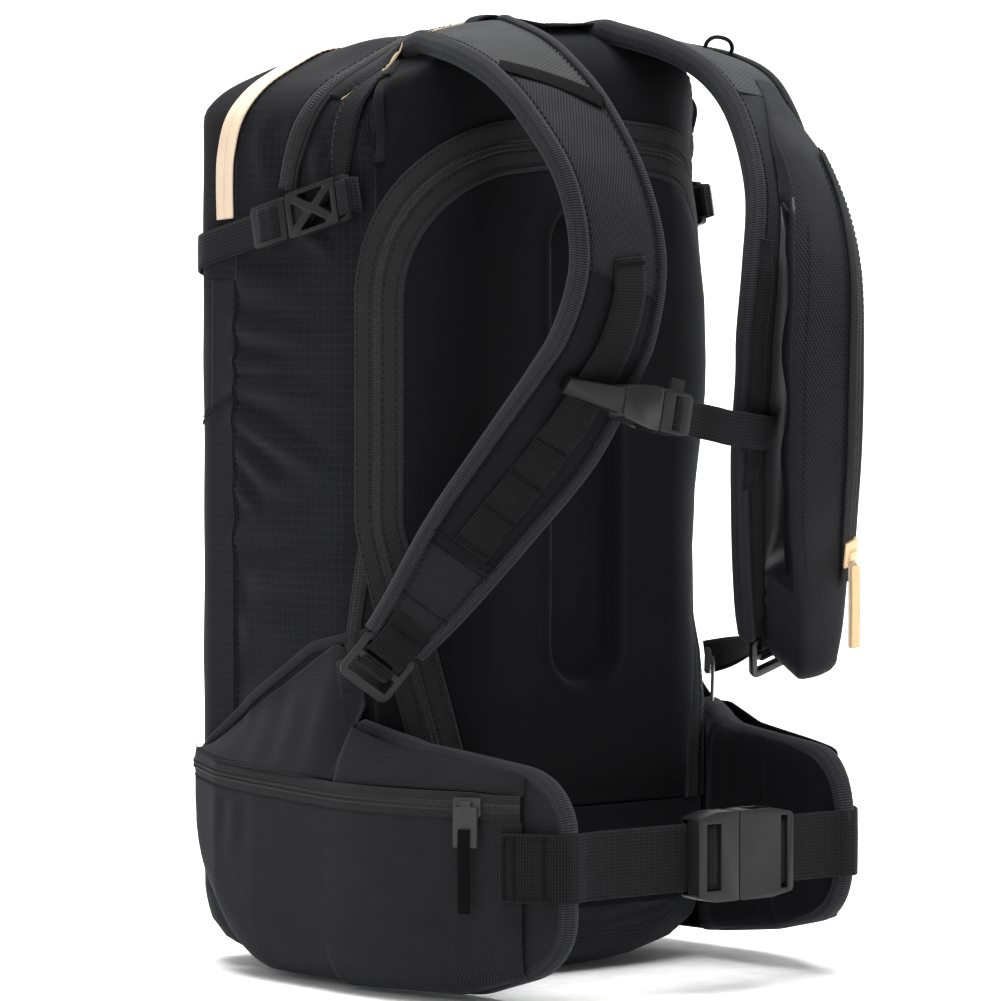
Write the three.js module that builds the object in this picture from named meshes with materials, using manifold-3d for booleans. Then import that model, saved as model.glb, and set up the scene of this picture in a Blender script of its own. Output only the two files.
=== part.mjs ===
// A ski touring backpack: sewn body panels round a zipped back door, two shoulder straps with a
// sternum strap, and a hip belt. Millimetres, +Z up, the wearer stands on the -Y side and faces -Y,
// so +X is the wearer's left. The origin is the middle of the flat base.
import * as THREE from 'three';
import { mergeVertices } from 'three/addons/utils/BufferGeometryUtils.js';
import Module from 'manifold-3d';

const wasm = await Module();
wasm.setup();

// ---- driving dimensions -------------------------------------------------------------------
const GAP = 0.3;              // air kept between pieces that touch
const BODY = { half: 128, back: -102, front: 103, backRadius: 62, frontRadius: 28, crown: 545 };
const WALL = 4;               // fabric with its foam lining
const BASE_TOP = 38;          // the reinforced base reaches this high
const SIDE_TOP = 497;         // side panels end here, the top panel begins
const FRONT_SEAM_Y = 76;      // seam between side and front panels
const DOOR_SEAM_Y = -70;      // the back door's zip runs down the side at this depth
const DOOR = { bottom: 96, top: 473, pad: 13, play: 1.8 };
const CHANNEL = { half: 25, bottom: 165, top: 440, depth: 9 };
const ZIP_TAPE = { width: 13, thick: 0.8 };
const HIP = { zipLow: 102, zipHigh: 118, curve: { x: 27, y: -85, r: 183 } };
const BELT = { z: 77.5, y: -215, half: 19, web: 2.1 };
const STERNUM = { tilt: 0.197, x: -36, y: -204.8, z: 325.2 };
const COMPRESSION = { slope: 0.207, z: 431 };
const NARROW = 10;            // half the width of the 20 mm webbings
const WEBBING = 1.5;          // thickness of every webbing

const BLACK = new THREE.Color(0x36363a);
const paint = (color, roughness = 0.85, metalness = 0) =>
  new THREE.MeshStandardMaterial({ color, roughness, metalness });
const MATERIAL = {
  shell: paint(BLACK),
  ballistic: paint(0x3a3b3f),
  foam: paint(0x2f3033, 0.95),
  webbing: paint(0x3c3c3e, 0.8),
  zip: paint(0x333335, 0.7),
  light: paint(0xf3e6d4, 0.8),
  plastic: paint(0x4c4c50, 0.45),
  sheet: paint(0x1f2124, 0.5),
  aluminium: paint(0xb8bcc2, 0.35, 1),
};

const model = new THREE.Group();
const add = (name, geometry, material) => {
  const mesh = new THREE.Mesh(geometry, material);
  mesh.name = name;
  model.add(mesh);
};

// ---- geometry helpers ---------------------------------------------------------------------
const v = (x, y, z) => new THREE.Vector3(x, y, z);

// A polygon whose corners [x, y, radius] are rounded by arcs.
function rounded(corners, steps = 5) {
  const points = [];
  corners.forEach(([x, y, r = 0], i) => {
    const here = new THREE.Vector2(x, y);
    const [px, py] = corners[(i + corners.length - 1) % corners.length];
    const [nx, ny] = corners[(i + 1) % corners.length];
    if (!r) return points.push(here);
    const a = new THREE.Vector2(px, py).sub(here).normalize();
    const b = new THREE.Vector2(nx, ny).sub(here).normalize();
    const half = Math.acos(THREE.MathUtils.clamp(a.dot(b), -1, 1)) / 2;
    const reach = r / Math.tan(half);
    const centre = here.clone().addScaledVector(a.clone().add(b).normalize(), r / Math.sin(half));
    const start = here.clone().addScaledVector(a, reach).sub(centre);
    const end = here.clone().addScaledVector(b, reach).sub(centre);
    let turn = end.angle() - start.angle();
    turn -= Math.round(turn / (2 * Math.PI)) * 2 * Math.PI;
    for (let k = 0; k <= steps; k++) {
      const angle = start.angle() + (turn * k) / steps;
      points.push(centre.clone().add(new THREE.Vector2(Math.cos(angle),
        Math.sin(angle)).multiplyScalar(r)));
    }
  });
  return points;
}

// The outline moved inwards by d (outwards when d is negative), for outlines without sharp notches.
function inset(points, d) {
  const n = points.length;
  const edge = (i) => {
    const dir = points[(i + 1) % n].clone().sub(points[i]).normalize();
    return { dir, at: points[i].clone().add(new THREE.Vector2(-dir.y, dir.x).multiplyScalar(d)) };
  };
  return points.map((p, i) => {
    const e0 = edge((i + n - 1) % n);
    const e1 = edge(i);
    const cross = e0.dir.cross(e1.dir);
    if (Math.abs(cross) < 1e-6) return e1.at.clone();
    const t = e1.at.clone().sub(e0.at).cross(e1.dir) / cross;
    return e0.at.clone().addScaledVector(e0.dir, t);
  });
}

// A prism on an outline: plane 'xy' runs along Z, 'yz' along X and 'xz' along Y, from low to high.
function prism(points, plane, low, high, holes = []) {
  const shape = new THREE.Shape(points);
  holes.forEach((hole) => shape.holes.push(new THREE.Path(hole)));
  const geometry = new THREE.ExtrudeGeometry(shape, { depth: high - low, bevelEnabled: false });
  geometry.translate(0, 0, plane === 'xz' ? -high : low);
  const turn = new THREE.Matrix4();
  if (plane === 'yz') turn.makeBasis(v(0, 1, 0), v(0, 0, 1), v(1, 0, 0));
  if (plane === 'xz') turn.makeBasis(v(1, 0, 0), v(0, 0, 1), v(0, -1, 0));
  return geometry.applyMatrix4(turn);
}

const block = (x0, x1, y0, y1, z0, z1) =>
  new THREE.BoxGeometry(x1 - x0, y1 - y0, z1 - z0).translate((x0 + x1) / 2, (y0 + y1) / 2, (z0 + z1) / 2);

// A closed skin through equal loops of points, capped at both ends.
function loft(loops) {
  const n = loops[0].length;
  const positions = [];
  const index = [];
  loops.forEach((loop) => loop.forEach((p) => positions.push(p.x, p.y, p.z)));
  for (let i = 0; i + 1 < loops.length; i++) {
    for (let j = 0; j < n; j++) {
      const [a, b] = [i * n + j, i * n + ((j + 1) % n)];
      index.push(a, b, b + n, a, b + n, a + n);
    }
  }
  [0, loops.length - 1].forEach((i) => {
    const centre = loops[i].reduce((sum, p) => sum.add(p), v(0, 0, 0)).divideScalar(n);
    const c = positions.length / 3;
    positions.push(centre.x, centre.y, centre.z);
    for (let j = 0; j < n; j++) {
      const [a, b] = [i * n + j, i * n + ((j + 1) % n)];
      if (i === 0) index.push(c, b, a);
      else index.push(c, a, b);
    }
  });
  return outward(positions, index);
}

// Triangles with their faces turned out.
function outward(positions, index) {
  const [a, b, c] = [v(0, 0, 0), v(0, 0, 0), v(0, 0, 0)];
  let volume = 0;
  for (let i = 0; i < index.length; i += 3) {
    [a, b, c].forEach((p, k) => p.fromArray(positions, index[i + k] * 3));
    volume += a.dot(b.clone().cross(c));
  }
  if (volume < 0) {
    for (let i = 0; i < index.length; i += 3) [index[i], index[i + 1]] = [index[i + 1], index[i]];
  }
  const geometry = new THREE.BufferGeometry();
  geometry.setAttribute('position', new THREE.Float32BufferAttribute(positions, 3));
  geometry.setIndex(index);
  geometry.computeVertexNormals();
  return geometry;
}

function solid(geometry) {
  if (geometry.userData.solid) return geometry.userData.solid;
  const bare = geometry.clone();
  bare.deleteAttribute('normal');
  bare.deleteAttribute('uv');
  const merged = mergeVertices(bare, 1e-4);
  return new wasm.Manifold(new wasm.Mesh({
    numProp: 3,
    vertProperties: new Float32Array(merged.attributes.position.array),
    triVerts: new Uint32Array(merged.index.array),
  }));
}

function surface(manifold) {
  const { vertProperties, triVerts } = manifold.getMesh();
  const geometry = outward(Array.from(vertProperties), Array.from(triVerts));
  geometry.userData.solid = manifold;
  return geometry;
}

const join = (...parts) => surface(parts.map(solid).reduce((a, b) => a.add(b)));
const meet = (...parts) => surface(parts.map(solid).reduce((a, b) => a.intersect(b)));
const cut = (first, ...rest) => surface(rest.map(solid).reduce((a, b) => a.subtract(b), solid(first)));

// A copy moved by a matrix.
const placed = (geometry, matrix) => {
  const copy = geometry.clone().applyMatrix4(matrix);
  copy.userData = {};
  return copy;
};

// The convex skin round some small solids.
const wrap = (...parts) => surface(wasm.Manifold.hull(parts.map(solid)));

// The same piece on the wearer's other side.
function mirrored(geometry) {
  const copy = geometry.index
    ? geometry.clone()
    : mergeVertices(geometry.clone().deleteAttribute('normal'), 1e-4);
  copy.applyMatrix4(new THREE.Matrix4().makeScale(-1, 1, 1));
  return outward(Array.from(copy.attributes.position.array), Array.from(copy.index.array));
}

// Runs make for each side: the right-hand piece is made, the left-hand one is its mirror image.
function pair(name, geometry, material) {
  add(`right_${name}`, geometry, material);
  add(`left_${name}`, mirrored(geometry), material);
}

// A flat band along a path: across gives the width direction at each point.
function band(path, across, width, thick, lift = 0) {
  const loops = path.map((p, i) => {
    const along = path[Math.min(i + 1, path.length - 1)].clone().sub(path[Math.max(i - 1, 0)]).normalize();
    const side = (Array.isArray(across) ? across[i] : across).clone();
    side.addScaledVector(along, -side.dot(along)).normalize();
    const up = side.clone().cross(along);
    const corner = (w, t) => p.clone().addScaledVector(side, w).addScaledVector(up, t + lift);
    const w = (Array.isArray(width) ? width[i] : width) / 2;
    return [corner(-w, 0), corner(w, 0), corner(w, thick), corner(-w, thick)];
  });
  return loft(loops);
}

const smooth = (points, count) => new THREE.CatmullRomCurve3(points, false,
  'centripetal').getSpacedPoints(count);

// ---- the body: one rounded box, cut into its sewn panels ------------------------------------
const bodySide = (d) => inset(rounded([
  [BODY.back, 0], [BODY.front, 0], [BODY.front, 519, 74], [-50, 543, 40], [BODY.back, 536, 44]]), d);
const bodyFront = (d) => inset(rounded([
  [-BODY.half, 0], [BODY.half, 0], [BODY.half, 500, 42], [64, 538, 50], [0, BODY.crown, 150],
  [-64, 538, 50], [-BODY.half, 500, 42]], 4), d);
const FAR = 200;

// The plan narrows to a flat base: height, how far the outline moves in, and its back corner radius.
const FOOT = [[0, 34, 84], [4, 22, 80], [13, 9, 74], [25, 2.5, 66], [40, 0, BODY.backRadius],
  [3 * FAR, 0, BODY.backRadius]];
const bodyPlan = (d) => surface(wasm.Manifold.hull(FOOT.flatMap(([z, move, radius]) => {
  const [half, back, front, r] = [BODY.half - move - d, BODY.back + move + d, BODY.front - move - d,
    radius - d];
  return rounded([[-half, back, r], [half, back, r], [half, front, BODY.frontRadius - d],
    [-half, front, BODY.frontRadius - d]], 6).map((p) => [p.x, p.y, z + d]);
})));

// The body's solid, its surface moved in by d.
const bodySolid = (d) => meet(
  bodyPlan(d),
  prism(bodySide(d), 'yz', -FAR, FAR),
  prism(bodyFront(d), 'xz', -FAR, FAR));
const layer = (outer, inner) => cut(bodySolid(outer), bodySolid(inner));
const shell = layer(0, WALL);

// The wall's surface unrolled: s runs round the back from the middle, towards -X when side is -1.
const FLAT = BODY.half - BODY.backRadius;
const unrolled = (s) => (s <= FLAT ? s : FLAT + BODY.backRadius * Math.sin((s - FLAT) / BODY.backRadius));
const doorCorners = (grow, foot) => [
  [97 + grow, foot], [99 + grow, 130, 60 - grow], [133 + grow, 258, 60 + grow],
  [133 + grow, 464 + grow, 88 + grow], [0, DOOR.top + 3 + grow, 150], [-133 - grow, 464 + grow, 88 + grow],
  [-133 - grow, 258, 60 + grow], [-99 - grow, 130, 60 - grow], [-97 - grow, foot]];
// The slanted sides bend round the body's corners, so they are split into short steps.
const doorRoute = (grow, foot) => rounded(doorCorners(grow, foot), 8).flatMap((p, i, all) => {
  const next = all[i + 1];
  const steps = next && Math.abs(next.x - p.x) > 5 && next.y < 260 && p.y > DOOR.bottom ? 6 : 1;
  return Array.from({ length: steps }, (_, k) => (k ? p.clone().lerp(next, k / steps) : p));
});
const doorOutline = (grow) => doorRoute(grow, DOOR.bottom - grow)
  .map((p) => new THREE.Vector2(Math.sign(p.x) * unrolled(Math.abs(p.x)), p.y));
const doorway = (grow) => prism(doorOutline(grow), 'xz', BODY.back - 20, -50);
const SPLIT = 120.8; // the side panels begin outside this |X|

const slab = (axis, low, high) => {
  const reach = { x: [-FAR, FAR], y: [-FAR, FAR], z: [-FAR, 4 * FAR] };
  reach[axis] = [low, high];
  return block(...reach.x, ...reach.y, ...reach.z);
};
const backBand = meet(slab('y', -FAR, -50), slab('x', -SPLIT + GAP / 2, SPLIT - GAP / 2));

add('base_panel', meet(shell, slab('z', -1, BASE_TOP)), MATERIAL.ballistic);
add('front_panel', meet(shell, slab('y', FRONT_SEAM_Y + GAP / 2, FAR), slab('z', BASE_TOP + GAP, 3 * FAR)),
  MATERIAL.ballistic);
pair('side_panel', meet(shell, slab('x', -FAR, -SPLIT - GAP / 2), slab('y', -FAR, FRONT_SEAM_Y - GAP / 2),
  slab('z', BASE_TOP + GAP, SIDE_TOP)), MATERIAL.shell);
add('top_panel', meet(shell, slab('y', -FAR, FRONT_SEAM_Y - GAP / 2), slab('z', SIDE_TOP + GAP, 3 * FAR)),
  MATERIAL.shell);
add('yoke_panel', cut(meet(shell, backBand, slab('z', DOOR.bottom + 60, SIDE_TOP)), doorway(DOOR.play),
  slab('z', 0, 380)), MATERIAL.foam);
add('lumbar_panel', cut(meet(shell, backBand, slab('z', BASE_TOP + GAP, 242)), doorway(DOOR.play)),
  MATERIAL.foam);
add('divider_panel', meet(bodySolid(WALL + 0.6), slab('y', 54, 56)), MATERIAL.shell);

// ---- the back door: a foam pad with a spine channel on a stiffened sheet ----------------------
const channel = prism(rounded([
  [-CHANNEL.half, CHANNEL.bottom, 24], [CHANNEL.half, CHANNEL.bottom, 24],
  [CHANNEL.half, CHANNEL.top, 24], [-CHANNEL.half, CHANNEL.top, 24]]), 'xz', -FAR,
    BODY.back + CHANNEL.depth);
add('back_pad', cut(meet(layer(0, DOOR.pad), doorway(0)), channel), MATERIAL.foam);
const sheetFace = DOOR.pad + GAP;
const SHEET = 2;
add('frame_sheet', meet(layer(sheetFace, sheetFace + SHEET), doorway(-16)), MATERIAL.sheet);
const stayY = BODY.back + sheetFace + SHEET + GAP;
pair('frame_stay', block(-55, -35, stayY, stayY + 2.5, 125, 430), MATERIAL.aluminium);

// ---- zips on the body -------------------------------------------------------------------------
// A point on the back wall: s round the back from the middle (towards -X when positive).
function backPoint(s, z, lift) {
  const turn = Math.max(0, Math.abs(s) - FLAT) / BODY.backRadius;
  const r = turn > 0 ? BODY.backRadius : 0;
  const x = Math.min(Math.abs(s), FLAT) + (r ? (r + lift) * Math.sin(turn) : 0);
  const y = BODY.back + r * (1 - Math.cos(turn)) - lift * Math.cos(turn);
  return v(-Math.sign(s) * x, y, z);
}

// Half of the back door's zip tape, its middle line offset from the teeth.
function doorTape(offset) {
  const route = doorRoute(offset, DOOR.bottom + 4);
  const lift = 1;
  const path = route.map((p) => backPoint(p.x, p.y, lift));
  const across = path.map((p, i) => {
    const along = path[Math.min(i + 1, path.length - 1)].clone().sub(path[Math.max(i - 1, 0)]).normalize();
    const out = backPoint(route[i].x, route[i].y, lift + 1).sub(p);
    return along.cross(out);
  });
  return band(path, across, ZIP_TAPE.width - 1, ZIP_TAPE.thick);
}
add('back_zip_outer_tape', doorTape(ZIP_TAPE.width / 2 + 1.2), MATERIAL.zip);
add('back_zip_inner_tape', doorTape(-ZIP_TAPE.width / 2), MATERIAL.zip);

// A stripe of constant width along a line in a side or front view.
function stripe(line, width) {
  const pts = line.map(([x, y]) => new THREE.Vector2(x, y));
  const edge = (sign) => pts.map((p, i) => {
    const along = pts[Math.min(i + 1, pts.length - 1)].clone().sub(pts[Math.max(i - 1, 0)]).normalize();
    return p.clone().add(new THREE.Vector2(-along.y, along.x).multiplyScalar((sign * width) / 2));
  });
  return [...edge(-1), ...edge(1).reverse()];
}
const skin = (low, high) => cut(bodySolid(-high), bodySolid(-low));
const trim = skin(0.4, 1.4);
const TOOL_ZIP = [[62, 430], [63, 448], [63, 465], [58, 484], [50, 502], [41, 528], [36, 560]];
const TOP_ZIP = [[5, 446], [2, 462], [-5, 477], [-13, 491], [-22, 507], [-36, 534], [-44, 570]];
add('tool_zip_tape', meet(trim, prism(stripe(TOOL_ZIP, 13), 'yz', -FAR, FAR)), MATERIAL.light);
add('top_zip_tape', meet(trim, prism(stripe(TOP_ZIP, 13), 'yz', -FAR, FAR)), MATERIAL.zip);
const flapOutline = [[-44, 600], [-46, 525], [-50, 505], [-62, 505], [-66, 520], [-61, 540], [-61, 600]]
  .map(([a, b]) => new THREE.Vector2(a, b));
add('top_flap', meet(skin(2, 3.6), prism(flapOutline, 'yz', -FAR, FAR)), MATERIAL.shell);
pair('side_band', meet(trim, slab('x', -FAR, -90),
  prism(stripe([[-44, 459], [-47, 478], [-51, 493], [-56, 502]], 18), 'yz', -FAR, 0)), MATERIAL.webbing);

// ---- shoulder straps --------------------------------------------------------------------------
// Each strap's outer face lies between its sternum edge and its armpit edge, from the yoke down.
const STATIONS = 26;
const STRAP = 10;
const sternumEdge = smooth([v(-36, -84, 545), v(-45, -129, 532), v(-49, -156, 518), v(-48, -182, 495),
  v(-41, -207, 450), v(-33, -212, 406), v(-34, -204, 362), v(-39.5, -197, 341), v(-53.7, -178, 296),
  v(-80, -151, 250), v(-110, -122, 203), v(-123, -110, 186)], STATIONS);
const armpitRight = smooth([v(-98, -78, 534), v(-106, -120, 525), v(-108, -152, 512), v(-108, -181, 491),
  v(-102, -210, 451), v(-95, -213, 405), v(-96, -197, 366), v(-98, -179, 346), v(-110, -148, 306),
  v(-127, -121, 262), v(-143, -103, 218), v(-150, -98, 203)], STATIONS);
const armpitLeft = smooth([v(98, -78, 534), v(106, -118, 526), v(109, -146, 514), v(108, -166, 493),
  v(101, -193, 450), v(95, -212, 405), v(95, -214, 362), v(100, -208, 341), v(114, -187, 300),
  v(136, -154, 258), v(157, -124, 213), v(163, -116, 196)], STATIONS);
const flip = (points) => points.map((p) => v(-p.x, p.y, p.z));
const strapLeft = { sternum: flip(sternumEdge), armpit: armpitLeft, sign: -1 };
const strapRight = { sternum: sternumEdge, armpit: armpitRight, sign: 1 };

// Directions at one station: across to the sternum edge, down the strap, and out from the wearer.
function strapFrame({ sternum, armpit, sign }, i) {
  const mid = (k) => sternum[k].clone().add(armpit[k]).multiplyScalar(0.5);
  const down = mid(Math.min(i + 1, STATIONS)).sub(mid(Math.max(i - 1, 0))).normalize();
  const across = sternum[i].clone().sub(armpit[i]);
  const width = across.length();
  across.normalize();
  const out = down.clone().cross(across).normalize().multiplyScalar(sign);
  return { across, down, out, width, armpit: armpit[i] };
}

// A point on a strap: from 0 at the armpit edge to 1 at the sternum edge, lift out from its face.
function onStrap(strap, i, from, lift) {
  const { across, out, width, armpit } = strapFrame(strap, i);
  return armpit.clone().addScaledVector(across, from * width).addScaledVector(out, lift);
}

// A slab along a strap between two shares of its width, its faces at the lifts given per station.
function alongStrap(strap, first, last, section) {
  const loops = [];
  for (let i = first; i <= last; i++) {
    const { from, to, low, high, edge } = section(i);
    const { width } = strapFrame(strap, i);
    const e = edge / width;
    const p = (share, lift) => onStrap(strap, i, share, lift);
    loops.push([p(from, low + edge), p(from + e, low), p(to - e, low), p(to, low + edge),
      p(to, high - edge), p(to - e, high), p(from + e, high), p(from, high - edge)]);
  }
  return loft(loops);
}
const padSection = () => ({ from: 0, to: 1, low: -STRAP, high: 0, edge: 2.5 });

// Axes at a place on a strap: x across it, y down it, z out from the wearer.
function strapPlace(strap, i, share, lift) {
  const { down, out } = strapFrame(strap, i);
  const place = new THREE.Matrix4().makeBasis(down.clone().cross(out), down, out);
  return place.setPosition(onStrap(strap, i, share, lift));
}
const strapEnd = (strap) => strapPlace(strap, STATIONS, 0.5, -STRAP / 2);

// A webbing tab at the strap's lower end holds the ladder lock's upper bar.
const tab = cut(block(-12, 12, -3, 8.9, -2.8, 6.8), block(-13, 13, 0.3, 7.3, -1.3, 5.3));
[['right', strapRight], ['left', strapLeft]].forEach(([side, strap]) => {
  const square = placed(block(-60, 60, 0, 60, -30, 30), strapEnd(strap));
  const pad = cut(alongStrap(strap, 0, STATIONS, padSection), bodySolid(-GAP), square);
  add(`${side}_shoulder_strap`, join(pad, placed(tab, strapEnd(strap))), MATERIAL.ballistic);
});

// The left strap carries a zipped sleeve for a drinking tube, open on its sternum side. Its rounded
// foot hangs past the strap's end.
const SLEEVE = { first: 7, slotFirst: 10, slotLast: 22, to: 0.73 };
const sleeveHeight = (i) => 4 + 33 * Math.sin((Math.PI / 2) * Math.min(1, (i - SLEEVE.first + 0.6) / 14));
function sleeveLoop(i, from, to, low, high, edge, drop = 0) {
  const { width, down } = strapFrame(strapLeft, i);
  const e = edge / width;
  const p = (share, lift) => onStrap(strapLeft, i, share, lift).addScaledVector(down, drop);
  return [p(from, low + edge), p(from + e, low), p(to - e, low), p(to, low + edge),
    p(to, high - edge), p(to - e, high), p(from + e, high), p(from, high - edge)];
}
const stations = (first, last) => Array.from({ length: last - first + 1 }, (_, k) => first + k);
const sleeve = loft([
  ...stations(SLEEVE.first, STATIONS).map((i) => sleeveLoop(i, 0.02, SLEEVE.to, 2.2, sleeveHeight(i),
    1.6)),
  sleeveLoop(STATIONS, 0.03, SLEEVE.to, 7, sleeveHeight(STATIONS) - 1.5, 3, 6),
  sleeveLoop(STATIONS, 0.08, SLEEVE.to - 0.05, 9, sleeveHeight(STATIONS) - 5, 3, 12),
  sleeveLoop(STATIONS, 0.16, SLEEVE.to - 0.13, 12, sleeveHeight(STATIONS) - 12, 3, 16)]);
const sleeveSlot = loft(stations(SLEEVE.slotFirst, SLEEVE.slotLast)
  .map((i) => sleeveLoop(i, 0.2, 0.9, 3, sleeveHeight(i) - 3, 1)));
add('tube_sleeve', cut(sleeve, sleeveSlot), MATERIAL.ballistic);

// Sternum rails: webbing that stands off each strap so that the sternum strap's loops can slide.
const RAIL = {
  lift: 3.7,
  right: { first: 11, last: 18, at: 0.56, width: 22 },
  left: { first: 11, last: 19, at: 0.9, width: 9 },
};
function rail(strap, { first, last, at, width }) {
  const path = [];
  const across = [];
  for (let i = first; i <= last; i++) {
    path.push(onStrap(strap, i, at, i === first || i === last ? 0.5 : RAIL.lift));
    across.push(strapFrame(strap, i).across.clone().multiplyScalar(-strap.sign));
  }
  return band(path, across, width, WEBBING);
}
add('right_sternum_rail', rail(strapRight, RAIL.right), MATERIAL.webbing);
add('left_sternum_rail', rail(strapLeft, RAIL.left), MATERIAL.webbing);

// A keeper of thin cord on top of the left strap, where the drinking tube passes.
const keeperAt = (share, lift) => onStrap(strapLeft, 3, share, lift);
const keeperPath = new THREE.CatmullRomCurve3([keeperAt(0.3, 1.8), keeperAt(0.32, 9), keeperAt(0.5, 12),
  keeperAt(0.7, 9), keeperAt(0.72, 1.8)]);
const cordSection = new THREE.Shape(rounded([[-1.2, -1.2, 1], [1.2, -1.2, 1], [1.2, 1.2, 1],
  [-1.2, 1.2, 1]], 1));
add('tube_keeper', new THREE.ExtrudeGeometry(cordSection, { steps: 14, extrudePath: keeperPath }),
  MATERIAL.webbing);

// ---- ladder locks under the straps and the webbing that they grip -------------------------------
const ladderLock = cut(
  prism(rounded([[-17, 1.2, 4], [17, 1.2, 4], [17, 31, 5], [-17, 31, 5]], 3), 'xy', 0, 4),
  block(-13, 13, 6, 13, -1, 5), block(-13, 13, 17, 25.5, -1, 5));
[['right', strapRight, -1], ['left', strapLeft, 1]].forEach(([side, strap, hand]) => {
  const at = strapEnd(strap);
  add(`${side}_ladder_lock`, placed(ladderLock, at), MATERIAL.plastic);
  const anchor = v(hand * 138, -57, 173);
  const start = v(0, 19, -6.2).applyMatrix4(at);
  const middle = start.clone().lerp(anchor, 0.5).add(v(hand * 1.5, -1, 0));
  const flat = v(0, 0.29, 0.96);
  const bar = new THREE.Vector3().setFromMatrixColumn(at, 0);
  if (bar.dot(flat) < 0) bar.negate();
  const run = new THREE.QuadraticBezierCurve3(start, middle, anchor).getPoints(8);
  add(`${side}_adjuster_webbing`, band(run, run.map((_, i) => bar.clone().lerp(flat, i / 8)), 22, WEBBING),
    MATERIAL.webbing);
});

// ---- hip wings: a root sewn to the body's side and a padded wing that swings out ----------------
const circleX = (y) => HIP.curve.x - Math.sqrt(HIP.curve.r ** 2 - (y - HIP.curve.y) ** 2);
const heights = (low, high, count) => Array.from({ length: count + 1 },
  (_, k) => low + ((high - low) * k) / count);
const at2 = (points) => points.map(([x, y]) => new THREE.Vector2(x, y));
const sideOutline = (corners) => prism(rounded(corners, 6), 'yz', -FAR, 0);

// The left side hangs less low: it carries no load here.
const rootOutline = (foot) => sideOutline([[-66.2, foot, 0], [20, foot - 1, 50], [68, 50, 40],
  [74, 98, 12],
  [90, 118, 3], [-46, 194, 6], [-66.2, 158, 0]]);
const rootFace = -BODY.half - GAP;
const rootPlan = (thick) => prism(at2([[rootFace, -66.2], [rootFace, 88], ...(thick
  ? [[-146, 70], [-153, 40], [-155, 0], [circleX(-66.2), -66.2]] : [[-131, 84], [-134, 60],
    [-135, -66.2]])]),
'xy', 0, thick ? HIP.zipHigh : FAR);
const hipRoot = (foot) => cut(meet(rootOutline(foot), join(rootPlan(true), rootPlan(false))),
  bodySolid(-GAP));
add('right_hip_root', hipRoot(4), MATERIAL.shell);
add('left_hip_root', mirrored(hipRoot(14)), MATERIAL.shell);

// The wing's outline from the side, drawn in by d; drop lowers its under edge.
const wingOutline = (d, drop) => sideOutline([[-66.8 - d, 14 - drop + d, 0],
  [-150, 24 - 1.9 * drop + d, 60],
  [-214 + d, 38 - 1.4 * drop + d, 36 - d], [-214 + d, 126 - d, 36 - d], [-105, 137 - d, 40],
    [-66.8 - d, 149 - d, 0]]);
const cornerArc = heights(65.2, 33, 4).map((degrees) => {
  const angle = THREE.MathUtils.degToRad(degrees);
  const r = BODY.backRadius + 2.6;
  return [-FLAT - r * Math.sin(angle), BODY.back + BODY.backRadius - r * Math.cos(angle)];
});
const padBack = [[-140, -66.8], [-133, -100], [-126, -130], [-121, -165], [-116, -190], [-109, -213]];
const padPlan = prism(at2([...cornerArc, [-101.5, -104], [-100, -120], [-99.5, -150], [-101, -185],
  [-98, -213],
  ...[...padBack].reverse()]), 'xy', 0, FAR);
add('right_hip_pad', meet(padPlan, wingOutline(0, 10)), MATERIAL.foam);
add('left_hip_pad', mirrored(meet(padPlan, wingOutline(0, 0))), MATERIAL.foam);

// The pocket's fabric bulges from the pad along one arc, which its zip follows.
const seatX = (y) => {
  const k = Math.max(1, padBack.findIndex(([, end]) => end <= y));
  const [[x0, y0], [x1, y1]] = [padBack[k - 1], padBack[k]];
  return x0 + ((x1 - x0) * (y - y0)) / (y1 - y0);
};
const pocketPlan = (d, seatLift, from, to) => prism(at2([
  ...heights(from, to, 8).map((y) => [seatX(y) - seatLift, y]),
  ...heights(to, from, 8).map((y) => [circleX(y) + d, y])]), 'xy', 0, FAR);
const pocket = (drop) => cut(meet(pocketPlan(0, GAP, -66.8, -192), wingOutline(0, drop)),
  meet(pocketPlan(3, -2, -72, -182), wingOutline(7, drop)));
add('right_hip_pocket', pocket(10), MATERIAL.shell);
add('left_hip_pocket', mirrored(pocket(0)), MATERIAL.shell);
const zipArc = (low, high, out, thick) => {
  const ring = (r) => heights(low, high, 12).map((y) => {
    const x = HIP.curve.x - Math.sqrt((HIP.curve.r + r) ** 2 - (y - HIP.curve.y) ** 2);
    return [x, y];
  });
  return prism(at2([...ring(out), ...ring(out + thick).reverse()]), 'xy', HIP.zipLow, HIP.zipHigh);
};
pair('hip_zip_tape', zipArc(-184, -68, GAP, 0.9), MATERIAL.zip);
const sliderPlace = (y) => {
  const angle = Math.asin((y - HIP.curve.y) / HIP.curve.r);
  return new THREE.Matrix4().makeRotationZ(-angle)
    .setPosition(HIP.curve.x - HIP.curve.r * Math.cos(angle), y, (HIP.zipLow + HIP.zipHigh) / 2);
};
const zipSlider = join(block(-5, -1.8, -8, 8, -5, 5), block(-7, -5, -3, 3, -3, 3),
  block(-7.8, -5.4, -7, 7, -22, 0));
pair('hip_zip_slider', placed(zipSlider, sliderPlace(-168)), MATERIAL.plastic);

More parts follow.
